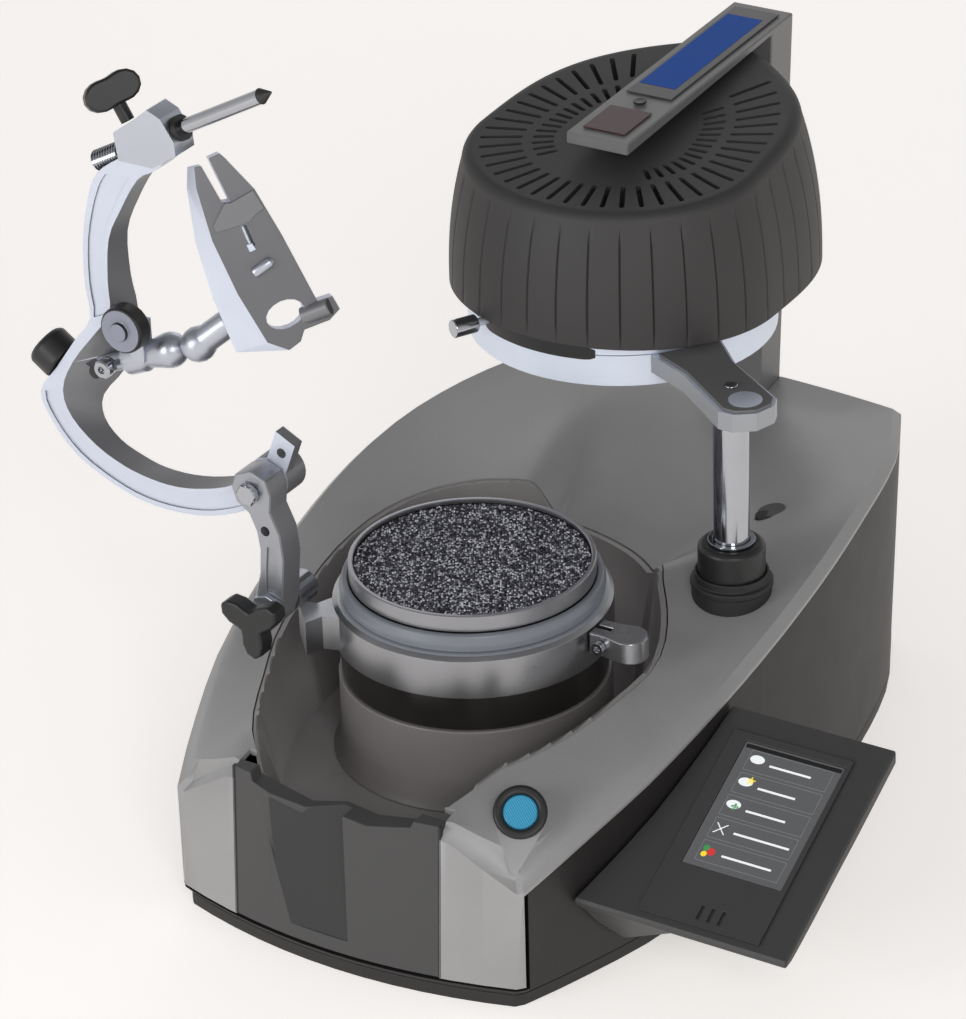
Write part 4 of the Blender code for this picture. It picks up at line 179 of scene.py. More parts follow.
# Start, end, radius, the profile at the start and at the end in radii, and the count of sides
PLATE_RODS = {
    "plate_peg": ("alloy", (-0.0006, -0.0066, 0.0004), (0.0090, -0.0044, 0.0006), 0.0026,
                  ((0.0, 0.0), (0.8, 0.0), (1.0, 0.3)), ((1.0, 0.5), (0.6, 0.0), (0.0, 0.0)), 24),
    "plate_hook": ("dull_alloy_and_shade", (0.0120, -0.0325, -0.0030), (0.0236, -0.0322, 0.0022), 0.0040,
                   ((0.0, 0.0), (1.0, 0.0)), ((1.0, 0.12), (0.9, 0.0), (0.0, 0.0)), 40),
}

# Front recess, seams, the foot of the rubber ring and the cap behind the post
RECESS_POINTS = (
    (-0.0323, -0.1176, 0.0778), (-0.0294, -0.1199, 0.0463), (-0.0207, -0.1226, 0.0182),
    (0.0082, -0.1230, 0.0182), (0.0064, -0.1109, 0.0784), (0.0026, -0.1115, 0.0788),
    (-0.0155, -0.1147, 0.0738))
RECESS_REAR = -0.1090
RECESS_SHARP = 30
RECESS_BLEND = 0.08
RECESS_ALIKE = 0.8
RECESS_FRONT = -0.5
SEAM_X = 0.0519
SEAM_HALF = 0.0006
SEAM_DEPTH = 0.002
SEAM_ENDS = ((-0.1190, 0.0112), (-0.1145, 0.0838))
FOOT_RADIUS = 0.0178
FOOT_BORE = 0.0144
FOOT_DEPTH = 0.0105
FOOT_EDGE = 0.0006
FOOT_SIDES = 56
CAP_XY = (0.0752, 0.1355)
CAP_PROFILE = ((0.0, -0.0007), (0.0066, -0.0007), (0.0066, 0.0), (0.00627, 0.0007), (0.0, 0.0007))
CAP_FEEL = 0.00858
CAP_SIDES = 48

# Cup band and hinge nut
RIM_BAND_LOW = 0.1372
RIM_SKIN = 0.00015
RIM_LIP = 0.0016
RIM_SOFT = 0.0004
RIM_SIDES = 96
CUP_NECK = 0.0541
CUP_BORE = 0.0523
NUT_SPREAD = 1.25
NUT_TOP_SHARE = 0.9
NUT_THICK = 0.0024
NUT_CHAMFER = 0.0004
NUT_PROUD = 0.0002
NUT_SIDES = 6
NUT_SHARP = 20

# Incisal pin, with the CAD pin's sizes, and the small round parts at the elbow and in the bar
PIN_START = (-0.155, -0.043, 0.317)
PIN_AXIS = (0.881303, 0.0, 0.472551)
PIN_TURNS = 10
PIN_PITCH = 0.0016
PIN_TURN_SHARES = ((0.25, False), (0.55, True), (0.75, True))
PIN_CORE, PIN_CREST = 0.0039, 0.0048
PIN_PROFILE = (
    (0.0039, 0.0160), (0.0043, 0.0162), (0.0043, 0.0500), (0.0056, 0.0501), (0.0056, 0.0527),
    (0.0033, 0.0528), (0.0033, 0.0986), (0.003564, 0.0988), (0.000396, 0.1048), (0.0, 0.1050))
PIN_COLLAR_FROM, PIN_COLLAR_TO = 0.0498, 0.0528
PIN_TIP_FROM = 0.0987
PIN_SHARP = 40
BOLT_XZ = (-0.1518, 0.2235)
BOLT_PROFILE = (
    (0.0, -0.0005), (0.0040, -0.0005), (0.0040, 0.0012), (0.0034, 0.0015), (0.0034, 0.0020),
    (0.0043, 0.0023), (0.0043, 0.0052), (0.0036, 0.0058), (0.0018, 0.0058), (0.0016, 0.0040), (0.0, 0.0040))
SOCKET_XZ = (-0.1597, 0.2182)
SOCKET_PROFILE = ((0.0, -0.0002), (0.0030, -0.0002), (0.0030, 0.0002), (0.0026, 0.0003), (0.0, 0.0003))
ELBOW_SHARP = 30
EYE_PROFILE = (
    (0.0, -0.0004), (0.0030, -0.0004), (0.0030, 0.0002), (0.0027, 0.0004), (0.0015, 0.00028), (0.0, 0.00024))

# Granulate
BEAD_RADIUS = 0.00060
BEAD_PITCH = 0.00116
BEAD_ROW = BEAD_PITCH * math.sqrt(0.75)
BEAD_SCATTER = 0.00026
BEAD_BURIED = 0.2
BEAD_SEED = 7
BED_SIDES = 64

# Hood, with the sizes of the CAD hood
HOOD_X = 0.0020
HOOD_WIDEST_Y = 0.1265
HOOD_FRONT_Y = 0.0590
HOOD_REAR_Y = 0.2381
HOOD_TAIL = 0.01922
HOOD_TAIL_POWER = 3.4
HOOD_HALF_WIDTH = 0.0785
HOOD_LEAN = 0.007225
HOOD_LEAN_POWER = 2.3
HOOD_BRIM = 0.00588
HOOD_CROWN_INSET = 0.01262
HOOD_WALL = 0.0025
HOOD_LIP = 0.0006
HOOD_TOP_FRONT = 0.2826
HOOD_TOP_RISE = 0.0184
HOOD_TOP_LENGTH = 0.1730
HOOD_SHARP = 38
WALL_STEPS = 14
BRIM_STEPS = 8
GROOVE_COUNT = 34
GROOVE_WIDTH = 0.0012
GROOVE_DEPTH = 0.0008
GROOVE_FROM_STEP = 1
BETWEEN_GROOVES = 3
OUTLINE_STEPS = 600
SLOT_CENTRE = (0.0020, 0.1370)
SLOT_COUNT = 46
SLOT_WIDTH = 0.0023
SLOT_EDGE_INSET = 0.01362
SLOT_ROW_SHARES = ((0.31, 0.42), (0.48, 0.63), (0.69, 0.98))
SLOT_ROUND_STEPS = 5
REACH_STEPS = 240
PARALLEL = 1e-12
BAR_HALF_WIDTH = 0.0155
BAR_FRONT_Y = 0.1100

# Thin fields on four-cornered faces: node, look, shares of its width and length, and height over it
FIELDS = {
    "screen_groove": ("touch_screen", "black", (0.02, 0.99), (0.955, 0.985), 0.00012),
    "bar_field": ("bar_inlay", "blue_field", (0.05, 0.84), (0.10, 0.91), 0.0001),
}

# Console screen, as shares of its width and length. Its icons are in shares of their radius.
MENU_ROWS = 5
MENU_LINE = 0.00022
MENU_PROUD = 0.00006
ROW_SPAN_SHARES = (0.10, 0.93)
ROW_TOP_SHARE = 0.95
ROW_STEP_SHARE = 0.186
ROW_FILL = 0.86
LABEL_SHARES = (0.42, 0.38, 0.40, 0.56, 0.50)
LABEL_HEIGHT = 0.0010
LABEL_AWAY = 1.9
ICON_RADIUS = 0.0034
ICON_AWAY = 1.2
ICON_FLAT = 0.62
ICON_SIDES = 20
DISC_ROWS = 3
STAR_ROW, PLUS_ROW, CROSS_ROW, DOTS_ROW = 1, 2, 3, 4
STAR_ASIDE, STAR_SIZE, STAR_WAIST, STAR_POINTS = 0.6, 0.7, 0.45, 5
PLUS_ASIDE = 0.3
PLUS_BARS = ((0.5, 0.16), (0.16, 0.5))
CROSS_SLIM, CROSS_TALL = 0.10, 0.75
DOTS = (("menu_red", 0.35, 0.0, 0.55), ("menu_green", -0.45, 0.4, 0.45), ("menu_yellow", -0.45, -0.5, 0.4))


def camera():
    """Stands where the photograph was taken from, with its roll and framing."""
    right = Vector((math.cos(CAMERA_TURN), math.sin(CAMERA_TURN), 0.0))
    flat = Vector((math.sin(CAMERA_TURN), -math.cos(CAMERA_TURN), 0.0))
    back = flat * math.cos(CAMERA_RISE) + Vector((0.0, 0.0, math.sin(CAMERA_RISE)))
    up = back.cross(right)
    cosine, sine = math.cos(CAMERA_ROLL), math.sin(CAMERA_ROLL)
    across = right * cosine + up * sine
    over = up * cosine - right * sine
    aim = Vector((0.0, 0.0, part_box("granulate")[1].z))
    spot = aim + across * CAMERA_ASIDE + over * CAMERA_ABOVE + back * CAMERA_AWAY
    data = bpy.data.cameras.new("camera")
    data.lens = LENS_MM
    data.clip_end = CAMERA_REACH
    eye = bpy.data.objects.new("camera", data)
    eye.matrix_world = Matrix.Translation(spot) @ Matrix((across, over, back)).transposed().to_4x4()
    bpy.context.collection.objects.link(eye)
    bpy.context.scene.camera = eye


def light(name, spot, size, power, colour):
    data = bpy.data.lights.new(name, "AREA")
    data.size = size
    data.energy = power
    data.color = colour
    lamp = bpy.data.objects.new(name, data)
    lamp.location = spot
    lamp.rotation_euler = (Vector(LAMP_AIM) - Vector(spot)).to_track_quat("-Z", "Y").to_euler()
    bpy.context.collection.objects.link(lamp)


def studio():
    """A pale floor and soft light from all sides, strongest from the front left."""
    world = bpy.data.worlds.new("studio")
    world.use_nodes = True
    tree = world.node_tree
    place = node(tree, "TexCoord")
    split = node(tree, "SeparateXYZ", {"Vector": place.outputs["Generated"]})
    background = tree.nodes["Background"].inputs
    feed(tree, background["Color"], ramp(tree, split.outputs["Z"], SKY_STOPS))
    feed(tree, background["Strength"], SKY_STRENGTH)
    bpy.context.scene.world = world
    bpy.context.scene.view_settings.view_transform = "Standard"
    for name, row in LAMPS.items():
        light(name, *row)
    form = bmesh.new()
    bmesh.ops.create_grid(form, x_segments=1, y_segments=1, size=FLOOR_HALF)
    mesh = bpy.data.meshes.new("floor")
    form.to_mesh(mesh)
    floor = bpy.data.objects.new("floor", mesh)
    bpy.context.collection.objects.link(floor)
    look = finish("floor", FLOOR_COLOUR, FLOOR_ROUGHNESS, spread=FLOOR_SPREAD, bump=0.0, gloss_level=0.0)
    glow(look, FLOOR_GLOW, FLOOR_STRENGTH)
    mesh.materials.append(look)


# Reading the CAD

def solid_of(name):
    """The CAD piece's mesh with its split corners joined and its flat faces made whole."""
    form = bmesh.new()
    form.from_mesh(NODES[name].data)
    bmesh.ops.remove_doubles(form, verts=form.verts, dist=WELD)
    bmesh.ops.dissolve_limit(form, angle_limit=math.radians(FLAT_WITHIN), verts=form.verts, edges=form.edges)
    return form


def top_face(name):
    """The corners, the middle and the normal of a piece's largest face that looks upwards."""
    form = solid_of(name)
    top = max(form.faces, key=lambda face: face.calc_area() * (face.normal.z > UPWARD))
    points = [vert.co.copy() for vert in top.verts]
    normal = top.normal.copy()
    form.free()
    return points, sum(points, Vector()) / len(points), normal


# Finishes

def feed(tree, socket, value):
    """Gives a socket its value, or links it to the socket that feeds it."""
    if isinstance(value, bpy.types.NodeSocket):
        tree.links.new(value, socket)
    else:
        socket.default_value = value


def node(tree, kind, inputs=None, **settings):
    made = tree.nodes.new(f"ShaderNode{kind}")
    for name, value in settings.items():
        setattr(made, name, value)
    for name, value in (inputs or {}).items():
        feed(tree, made.inputs[name], value)
    return made


def ramp(tree, value, stops):
    """A colour ramp. The first two stops are its ends."""
    tones = node(tree, "ValToRGB", {"Fac": value})
    elements = tones.color_ramp.elements
    for element, (place, colour) in zip(elements, stops):
        element.position = place
        element.color = colour
    for place, colour in stops[2:]:
        elements.new(place).color = colour
    return tones.outputs["Color"]


def shader_of(look):
    return look.node_tree.nodes["Principled BSDF"].inputs


def glow(look, colour, strength):
    feed(look.node_tree, shader_of(look)["Emission Color"], colour)
    feed(look.node_tree, shader_of(look)["Emission Strength"], strength)


def finish(name, colour, roughness, metallic=0.0, spread=0.06, mottle=0.020, grain=0.0005,
           bump=0.04, rough_spread=0.05, speckle=0.0, gloss_level=0.5):
    """A surface whose colour and gloss wander a little, with a fine grain."""
    look = bpy.data.materials.new(name)
    look.use_nodes = True
    tree = look.node_tree
    shader = shader_of(look)
    feed(tree, shader["Metallic"], metallic)
    feed(tree, shader["Specular IOR Level"], gloss_level)
    place = node(tree, "TexCoord").outputs["Object"]
    wide = node(tree, "TexNoise", {"Vector": place, "Scale": 1.0 / mottle, "Detail": WIDE_DETAIL})
    fine = node(tree, "TexNoise", {"Vector": place, "Scale": 1.0 / grain, "Detail": FINE_DETAIL})
    low = [max(0.0, part * (1 - spread)) for part in colour] + [1.0]
    high = [min(1.0, part * (1 + spread)) for part in colour] + [1.0]
    tone = node(tree, "Mix", {"A": low, "B": high, "Factor": wide.outputs["Fac"]}, data_type="RGBA")
    if speckle:
        lift = node(tree, "MapRange", {"Value": fine.outputs["Fac"], "From Min": FLECK_FROM,
                                       "From Max": FLECK_TO, "To Max": speckle})
        tone = node(tree, "Mix", {"A": tone.outputs["Result"], "B": (1.0, 1.0, 1.0, 1.0),
                                  "Factor": lift.outputs["Result"]}, data_type="RGBA", blend_type="ADD")
    feed(tree, shader["Base Color"], tone.outputs["Result"])
    gloss = node(tree, "MapRange", {"Value": wide.outputs["Fac"],
                                    "To Min": max(LEAST_ROUGHNESS, roughness - rough_spread),
                                    "To Max": min(1.0, roughness + rough_spread)})
    feed(tree, shader["Roughness"], gloss.outputs["Result"])
    if bump:
        relief = node(tree, "Bump", {"Strength": bump, "Distance": grain / 2, "Height": fine.outputs["Fac"]})
        feed(tree, shader["Normal"], relief.outputs["Normal"])
    return look


def granulate_finish():
    """Metal beads, each of its own grey from near black to near white."""
    look = finish("granulate_beads", (0.3, 0.3, 0.32), 0.30, 0.75, bump=0.0)
    tree = look.node_tree
    bead = node(tree, "NewGeometry")
    feed(tree, shader_of(look)["Base Color"], ramp(tree, bead.outputs["Random Per Island"], BEAD_STOPS))
    return look


def lens_finish():
    """A lit lens with fine lines and a dark rim."""
    look = finish("lens", (0.03, 0.36, 0.62), 0.22, bump=0.0)
    tree = look.node_tree
    place = node(tree, "TexCoord").outputs["Object"]
    lines = node(tree, "TexWave", {"Vector": place, "Scale": LENS_LINES, "Distortion": LENS_WOBBLE},
                 bands_direction="X")
    _, middle, _ = top_face("button_lens")
    away = node(tree, "VectorMath", {0: place, 1: middle}, operation="DISTANCE")
    edge = node(tree, "MapRange", {"Value": away.outputs["Value"], "From Min": LENS_GLOW_RADIUS,
                                   "From Max": LENS_GLOW_RADIUS + LENS_GLOW_FADE})
    tones = ramp(tree, lines.outputs["Fac"], LENS_STOPS)
    shade = node(tree, "Mix", {"A": tones, "B": LENS_RIM, "Factor": edge.outputs["Result"]},
                 data_type="RGBA")
    feed(tree, shader_of(look)["Base Color"], shade.outputs["Result"])
    glow(look, shade.outputs["Result"], LENS_STRENGTH)
    return look


def lit(name, colour, strength=0.6):
    """A mark that the screen lights up."""
    look = finish(name, colour, LIT_ROUGHNESS, bump=0.0)
    glow(look, (*colour, 1.0), strength)
    return look


def make_looks():
    brushed = dict(grain=0.0006, bump=0.05, spread=0.05)
    return {
        "deck": finish("deck_paint", (0.335, 0.330, 0.329), 0.45, 0.20, speckle=0.04, grain=0.0004,
                       bump=0.03),
        "side": finish("dark_side", (0.0155, 0.0135, 0.0132), 0.55, grain=0.0007, bump=0.05),
        "console": finish("console_plastic", (0.050, 0.049, 0.048), 0.52, grain=0.0006, bump=0.04),
        "insert": finish("insert_plastic", (0.055, 0.054, 0.054), 0.50, grain=0.0006, bump=0.05),
        # Darkest plastic: the own colour of the pin's tip, and painted shade on the front recess's face
        "dark_tip_and_recess_shade": finish("dark_tip_and_recess_shade", (0.024, 0.0235, 0.0235), 0.50, grain=0.0006, bump=0.05),
        "plug": finish("plug_plastic", (0.075, 0.072, 0.070), 0.50, grain=0.0006, bump=0.04),
        "seat": finish("seat_plastic", (0.190, 0.176, 0.170), 0.40, grain=0.0007, bump=0.08, speckle=0.02),
        "tub": finish("tub_plastic", (0.275, 0.259, 0.252), 0.42, grain=0.0007, bump=0.10, speckle=0.02),
        "hood": finish("hood_plastic", (0.036, 0.034, 0.0335), 0.58, grain=0.0006, bump=0.06),
        "tower": finish("tower_paint", (0.185, 0.182, 0.181), 0.45, 0.1, grain=0.0005, bump=0.03),
        "alloy": finish("cast_alloy", (0.50, 0.52, 0.58), 0.36, 0.90, **brushed),
        # Bright alloy: the own colour of the plate block and the arm plate's disc, and painted highlight on
        # the jaw arm's front and the model plate's sides
        "bright_alloy_and_highlight": finish("bright_alloy_and_highlight", (0.62, 0.66, 0.76), 0.38, 0.45, **brushed),
        "link_alloy": finish("link_alloy", (0.36, 0.37, 0.40), 0.36, 0.80, **brushed),
        "ring_alloy": finish("ring_alloy", (0.74, 0.80, 0.91), 0.38, 0.40, **brushed),
        # Dull alloy: the own colour of the plate hook, and painted shade on the jaw arm's other faces and
        # the jaw link's side
        "dull_alloy_and_shade": finish("dull_alloy_and_shade", (0.21, 0.21, 0.22), 0.42, 0.45, **brushed),
        "plate_face": finish("plate_face", (0.150, 0.150, 0.158), 0.38, 0.40, **brushed),
        "clip_face": finish("clip_face", (0.185, 0.185, 0.195), 0.36, 0.40, **brushed),
        "knob_face": finish("knob_face", (0.26, 0.275, 0.335), 0.36, 0.30, **brushed),
        "rim_steel": finish("rim_steel", (0.34, 0.34, 0.36), 0.30, 0.80, **brushed),
        "flange": finish("flange_alloy", (0.34, 0.34, 0.355), 0.28, 0.95, grain=0.0006, bump=0.02,
                         spread=0.03, rough_spread=0.02),
        # Painted highlight for the flange's upward faces
        "flange_top_highlight": finish("flange_top_highlight", (0.62, 0.64, 0.68), 0.34, 0.55, **brushed),
        "dark_steel": finish("dark_steel", (0.105, 0.098, 0.094), 0.20, 0.90, grain=0.0006, bump=0.02),
        "chrome": finish("chrome", (0.45, 0.46, 0.49), 0.12, 1.0, grain=0.0008, bump=0.01),
        "black": finish("black_plastic", (0.012, 0.012, 0.012), 0.42, grain=0.0006, bump=0.05),
        "arm_alloy": finish("arm_alloy", (0.36, 0.37, 0.39), 0.38, 0.45, **brushed),
        "arm_plate": finish("arm_plate_coat", (0.130, 0.128, 0.130), 0.38, grain=0.0006, bump=0.04),
        "rubber": finish("black_rubber", (0.014, 0.013, 0.013), 0.55, grain=0.0005, bump=0.08),
        "seal": finish("seal_rubber", (0.190, 0.205, 0.232), 0.34, grain=0.0006, bump=0.03),
        "beads": granulate_finish(),
        "bed": finish("granulate_bed", (0.012, 0.012, 0.014), 0.7, bump=0.2),
        "lens": lens_finish(),
        "screen": lit("screen_glass", (0.085, 0.086, 0.090), 0.50),
        "window": finish("window_tint", (0.050, 0.010, 0.011), 0.45, spread=0.6, mottle=0.006, bump=0.0),
        "inlay": finish("inlay_plastic", (0.040, 0.038, 0.037), 0.40, bump=0.02),
        "board": finish("circuit_board", (0.02, 0.15, 0.06), 0.50),
        "ceramic": finish("ceramic", (0.75, 0.72, 0.66), 0.70),
        "menu_line": lit("menu_line", (0.20, 0.21, 0.22), 0.3),
        "menu_white": lit("menu_white", (0.75, 0.78, 0.78), 0.5),
        "menu_yellow": lit("menu_yellow", (0.75, 0.55, 0.03)),
        "menu_green": lit("menu_green", (0.04, 0.22, 0.07)),
        "menu_red": lit("menu_red", (0.50, 0.03, 0.03)),
        "blue_field": finish("blue_field", (0.006, 0.085, 0.420), 0.60, bump=0.0, gloss_level=0.15),
    }


LOOKS = make_looks()


# Making pieces

def add_piece(name, mesh, look, carrier, stands_for=None):
    """Makes a mesh a piece that rides on the carrier's body, and stands for a CAD piece if one is named."""
    mesh.materials.append(LOOKS[look])
    piece = bpy.data.objects.new(name, mesh)
    bpy.context.collection.objects.link(piece)
    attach(piece, NODES[carrier]["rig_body"])
    if stands_for:
        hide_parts(stands_for)
    return piece


def new_piece(name, form, look, carrier, stands_for=None):
    """Turns mesh work into a piece."""
    mesh = bpy.data.meshes.new(name)
    form.to_mesh(mesh)
    form.free()
    return add_piece(name, mesh, look, carrier, stands_for)


def smooth_shade(mesh, angle):
    for polygon in mesh.polygons:
        polygon.use_smooth = True
    mesh.set_sharp_from_angle(angle=math.radians(angle))


def round_edges(piece, width, steps, angle):
    rounding = piece.modifiers.new("edges", "BEVEL")
    rounding.width = width
    rounding.segments = steps
    rounding.limit_method = "ANGLE"
    rounding.angle_limit = math.radians(angle)


def shade_even(piece):
    even = piece.modifiers.new("even", "WEIGHTED_NORMAL")
    even.keep_sharp = True


def dress(name, look, edge, steps, angle=SHARP):
    """A copy of a CAD piece with rounded edges, which stands for it."""
    piece = new_piece(f"{name}_look", solid_of(name), look, name, name)
    smooth_shade(piece.data, angle)
    if edge:
        round_edges(piece, edge, steps, angle)
    shade_even(piece)
    return piece


def keep(name, look):
    """A CAD piece that stays as it is and gets its finish."""
    mesh = NODES[name].data
    mesh.materials.clear()
    mesh.materials.append(LOOKS[look])
    smooth_shade(mesh, SHARP)


def settle(piece):
    """Applies a piece's modifiers to its mesh, all but its even shading."""
    if "even" in piece.modifiers:
        piece.modifiers.remove(piece.modifiers["even"])
    bpy.context.view_layer.update()
    shaped = piece.evaluated_get(bpy.context.evaluated_depsgraph_get())
    mesh = bpy.data.meshes.new_from_object(shaped)
    piece.modifiers.clear()
    piece.data = mesh


def paint(piece, look, chosen):
    """Gives another finish to the chosen faces."""
    piece.data.materials.append(LOOKS[look])
    index = len(piece.data.materials) - 1
    for polygon in piece.data.polygons:
        if chosen(polygon):
            polygon.material_index = index


def add_rings(form, rows, hollow=False):
    """Joins rings of points to a closed form, where a ring of a single point is a tip.

    It has a cap on each end, or it is hollow and its last ring joins its first.
    """
    rings = [[form.verts.new(point) for point in row] for row in rows]
    for first, second in zip(rings, rings[1:] + (rings[:1] if hollow else [])):
        count = max(len(first), len(second))
        for index in range(count):
            after = (index + 1) % count
            corners = (first[index % len(first)], first[after % len(first)],
                       second[after % len(second)], second[index % len(second)])
            form.faces.new(list(dict.fromkeys(corners)))
    if not hollow:
        for ring in (rings[0][::-1], rings[-1]):
            if len(ring) > 1:
                form.faces.new(ring)


def face_outwards(form):
    bmesh.ops.recalc_face_normals(form, faces=form.faces)
    return form


def make_turned(name, profile, look, carrier, spot, axis, count=40, angle=35, hollow=False):
    """A round piece from its profile of radius and height, along an axis."""
    turn = Vector(axis).to_track_quat("Z", "Y").to_matrix()
    rows = []
    for radius, height in profile:
        angles = [2 * math.pi * step / count for step in range(count if radius else 1)]
        rows.append([Vector(spot) + turn @ Vector((radius * math.cos(way), radius * math.sin(way), height))
                     for way in angles])
    form = bmesh.new()
    add_rings(form, rows, hollow)
    piece = new_piece(name, face_outwards(form), look, carrier)
    smooth_shade(piece.data, angle)
    return piece


# Edge and steps of the rounding of each dressed piece
DRESSED = {
    "console_body": ("console", 0.0, 2), "console_panel": ("console", 0.0003, 2),
    "heater_tower": ("tower", 0.0, 2), "foil_ring": ("ring_alloy", 0.0004, 2),
    "lock_ring": ("ring_alloy", 0.0003, 2), "arm_plate": ("arm_plate", 0.0003, 2),
    "flange_ring": ("flange", 0.0006, 3), "pot_handle": ("flange", 0.0010, 3),
    "pot_cup": ("dark_steel", 0.0003, 2), "jaw_link": ("link_alloy", 0.0004, 2),
    "clamp_plate": ("alloy", 0.0004, 2), "jaw_arm": ("alloy", 0.0006, 3),
    "swivel_bracket": ("alloy", 0.0004, 2), "plate_stem": ("alloy", 0.0004, 2),
    "model_plate": ("alloy", 0.0006, 3), "round_knob": ("black", 0.0005, 3),
    "rear_knob": ("black", 0.0007, 3), "top_wing_knob": ("black", 0.0018, 4),
    "base_wing_knob": ("black", 0.0022, 4), "hinge_bolt": ("chrome", 0.0003, 2),
    "handle_screw": ("chrome", 0.0003, 2), "arm_screw": ("chrome", 0.0003, 2),
    "lever_knob": ("chrome", 0.0005, 3), "lift_rod": ("chrome", 0.0003, 2),
    "post_collar": ("black", 0.0007, 3), "rubber_ring": ("rubber", 0.0010, 3),
    "seal_ring": ("seal", 0.0010, 4), "button_bezel": ("black", 0.0006, 3),
    "button_lens": ("lens", 0.0005, 3), "deck_plug": ("side", 0.0005, 3),
    "bar_inlay": ("inlay", 0.0002, 2), "sensor_window": ("window", 0.0002, 2),
    "sensor_eye": ("black", 0.0002, 2), "touch_screen": ("screen", 0.0001, 1),
    "wiper_washer": ("chrome", 0.0002, 2), "mains_inlet": ("black", 0.0005, 2),
    "front_insert": ("insert", 0.0006, 2), "lower_housing": ("side", 0.0003, 2),
    "base_plate": ("side", 0.0005, 2), "tub_liner": ("tub", 0.0, 2), "pot_seat": ("seat", 0.0006, 3),
}
KEPT = {
    "heater_plate": "ceramic", "heat_reflector": "alloy",
    "heater_carrier": "alloy", "lift_cylinder": "black", "lift_piston": "black",
    "button_switch": "board", "vacuum_pump": "alloy", "pump_motor": "black",
    "control_board": "board", "power_supply": "alloy", "vacuum_hose": "rubber",
}


def make_granulate():
    """A bed of loose beads, each the upper part of a small ball."""
    low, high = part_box("granulate")
    radius = (high.x - low.x) / 2
    rng = random.Random(BEAD_SEED)
    bed = bmesh.new()
    bmesh.ops.create_circle(bed, cap_ends=True, segments=BED_SIDES, radius=radius,
                            matrix=Matrix.Translation((0.0, 0.0, high.z - BEAD_RADIUS)))
    new_piece("granulate_bed", bed, "bed", "granulate")
    ball = bmesh.new()
    bmesh.ops.create_icosphere(ball, subdivisions=1, radius=BEAD_RADIUS)
    ball.verts.index_update()
    corners = [vert.co.copy() for vert in ball.verts]
    faces = [[vert.index for vert in face.verts] for face in ball.faces
             if face.calc_center_median().z > -BEAD_BURIED * BEAD_RADIUS]
    ball.free()
    verts, polygons = [], []
    rows = int(radius / BEAD_ROW) + 1
    columns = int(radius / BEAD_PITCH) + 1
    for row in range(-rows, rows + 1):
        for column in range(-columns, columns + 1):
            x = (column + (row % 2) / 2) * BEAD_PITCH + rng.uniform(-1, 1) * BEAD_SCATTER
            y = row * BEAD_ROW + rng.uniform(-1, 1) * BEAD_SCATTER
            if math.hypot(x, y) > radius - BEAD_RADIUS:
                continue
            spot = Vector((x, y, high.z - BEAD_RADIUS + rng.uniform(-1, 1) * BEAD_SCATTER))
            turn = Matrix.Rotation(rng.uniform(0, math.pi), 3, "Z")
            first = len(verts)
            verts += [spot + turn @ corner for corner in corners]
            polygons += [[first + index for index in face] for face in faces]
    mesh = bpy.data.meshes.new("granulate_beads")
    mesh.from_pydata(verts, [], polygons)
    for polygon in mesh.polygons:
        polygon.use_smooth = True
    beads = add_piece("granulate_beads", mesh, "beads", "granulate", "granulate")


# Hood

def hood_spot(turn, grow):
    """A point of the hood's outline: turn runs from -1, the left of its tail, over 0, its nose, to 1."""
    way = math.copysign(1.0, turn)
    part = abs(turn)
    wide = HOOD_HALF_WIDTH + grow
    if part < 0.5:
        angle = math.pi * (part - 0.5)
        nose = HOOD_WIDEST_Y - HOOD_FRONT_Y + grow
        return Vector((HOOD_X + way * wide * math.cos(angle), HOOD_WIDEST_Y + nose * math.sin(angle)))
    share = 2 * part - 1
    x = HOOD_TAIL + (wide - HOOD_TAIL) * (1 - share ** HOOD_TAIL_POWER) + min(grow, 0.0) / 2 * share
    rear = HOOD_REAR_Y + min(grow, 0.0) - HOOD_WIDEST_Y
    return Vector((HOOD_X + way * x, HOOD_WIDEST_Y + rear * share))


def hood_top(y):
    return HOOD_TOP_FRONT + HOOD_TOP_RISE * (y - HOOD_FRONT_Y) / HOOD_TOP_LENGTH


def hood_columns():
    """Turns of the outline's columns, each with its share of a groove's depth."""
    turns = [2 * step / OUTLINE_STEPS - 1 for step in range(OUTLINE_STEPS + 1)]
    lengths = [0.0]
    for first, second in zip(turns, turns[1:]):
        lengths.append(lengths[-1] + (hood_spot(second, 0.0) - hood_spot(first, 0.0)).length)

    def turn_at(length):
        for index in range(OUTLINE_STEPS):
            if lengths[index + 1] >= length:
                span = lengths[index + 1] - lengths[index]
                return turns[index] + (turns[index + 1] - turns[index]) * (length - lengths[index]) / span
        return 1.0
    pitch = lengths[-1] / GROOVE_COUNT
    free = pitch / 2 - GROOVE_WIDTH
    steps = [free * step / (BETWEEN_GROOVES + 1) for step in range(1, BETWEEN_GROOVES + 1)]
    columns = [(-1.0, 0.0)]
    for groove in range(GROOVE_COUNT):
        middle = pitch * (groove + 0.5)
        columns += [(turn_at(middle - pitch / 2 + step), 0.0) for step in steps]
        columns += [(turn_at(middle - GROOVE_WIDTH / 2), 0.0), (turn_at(middle), 1.0),
                    (turn_at(middle + GROOVE_WIDTH / 2), 0.0)]
        columns += [(turn_at(middle + GROOVE_WIDTH + step), 0.0) for step in steps]
    return columns + [(1.0, 0.0)]


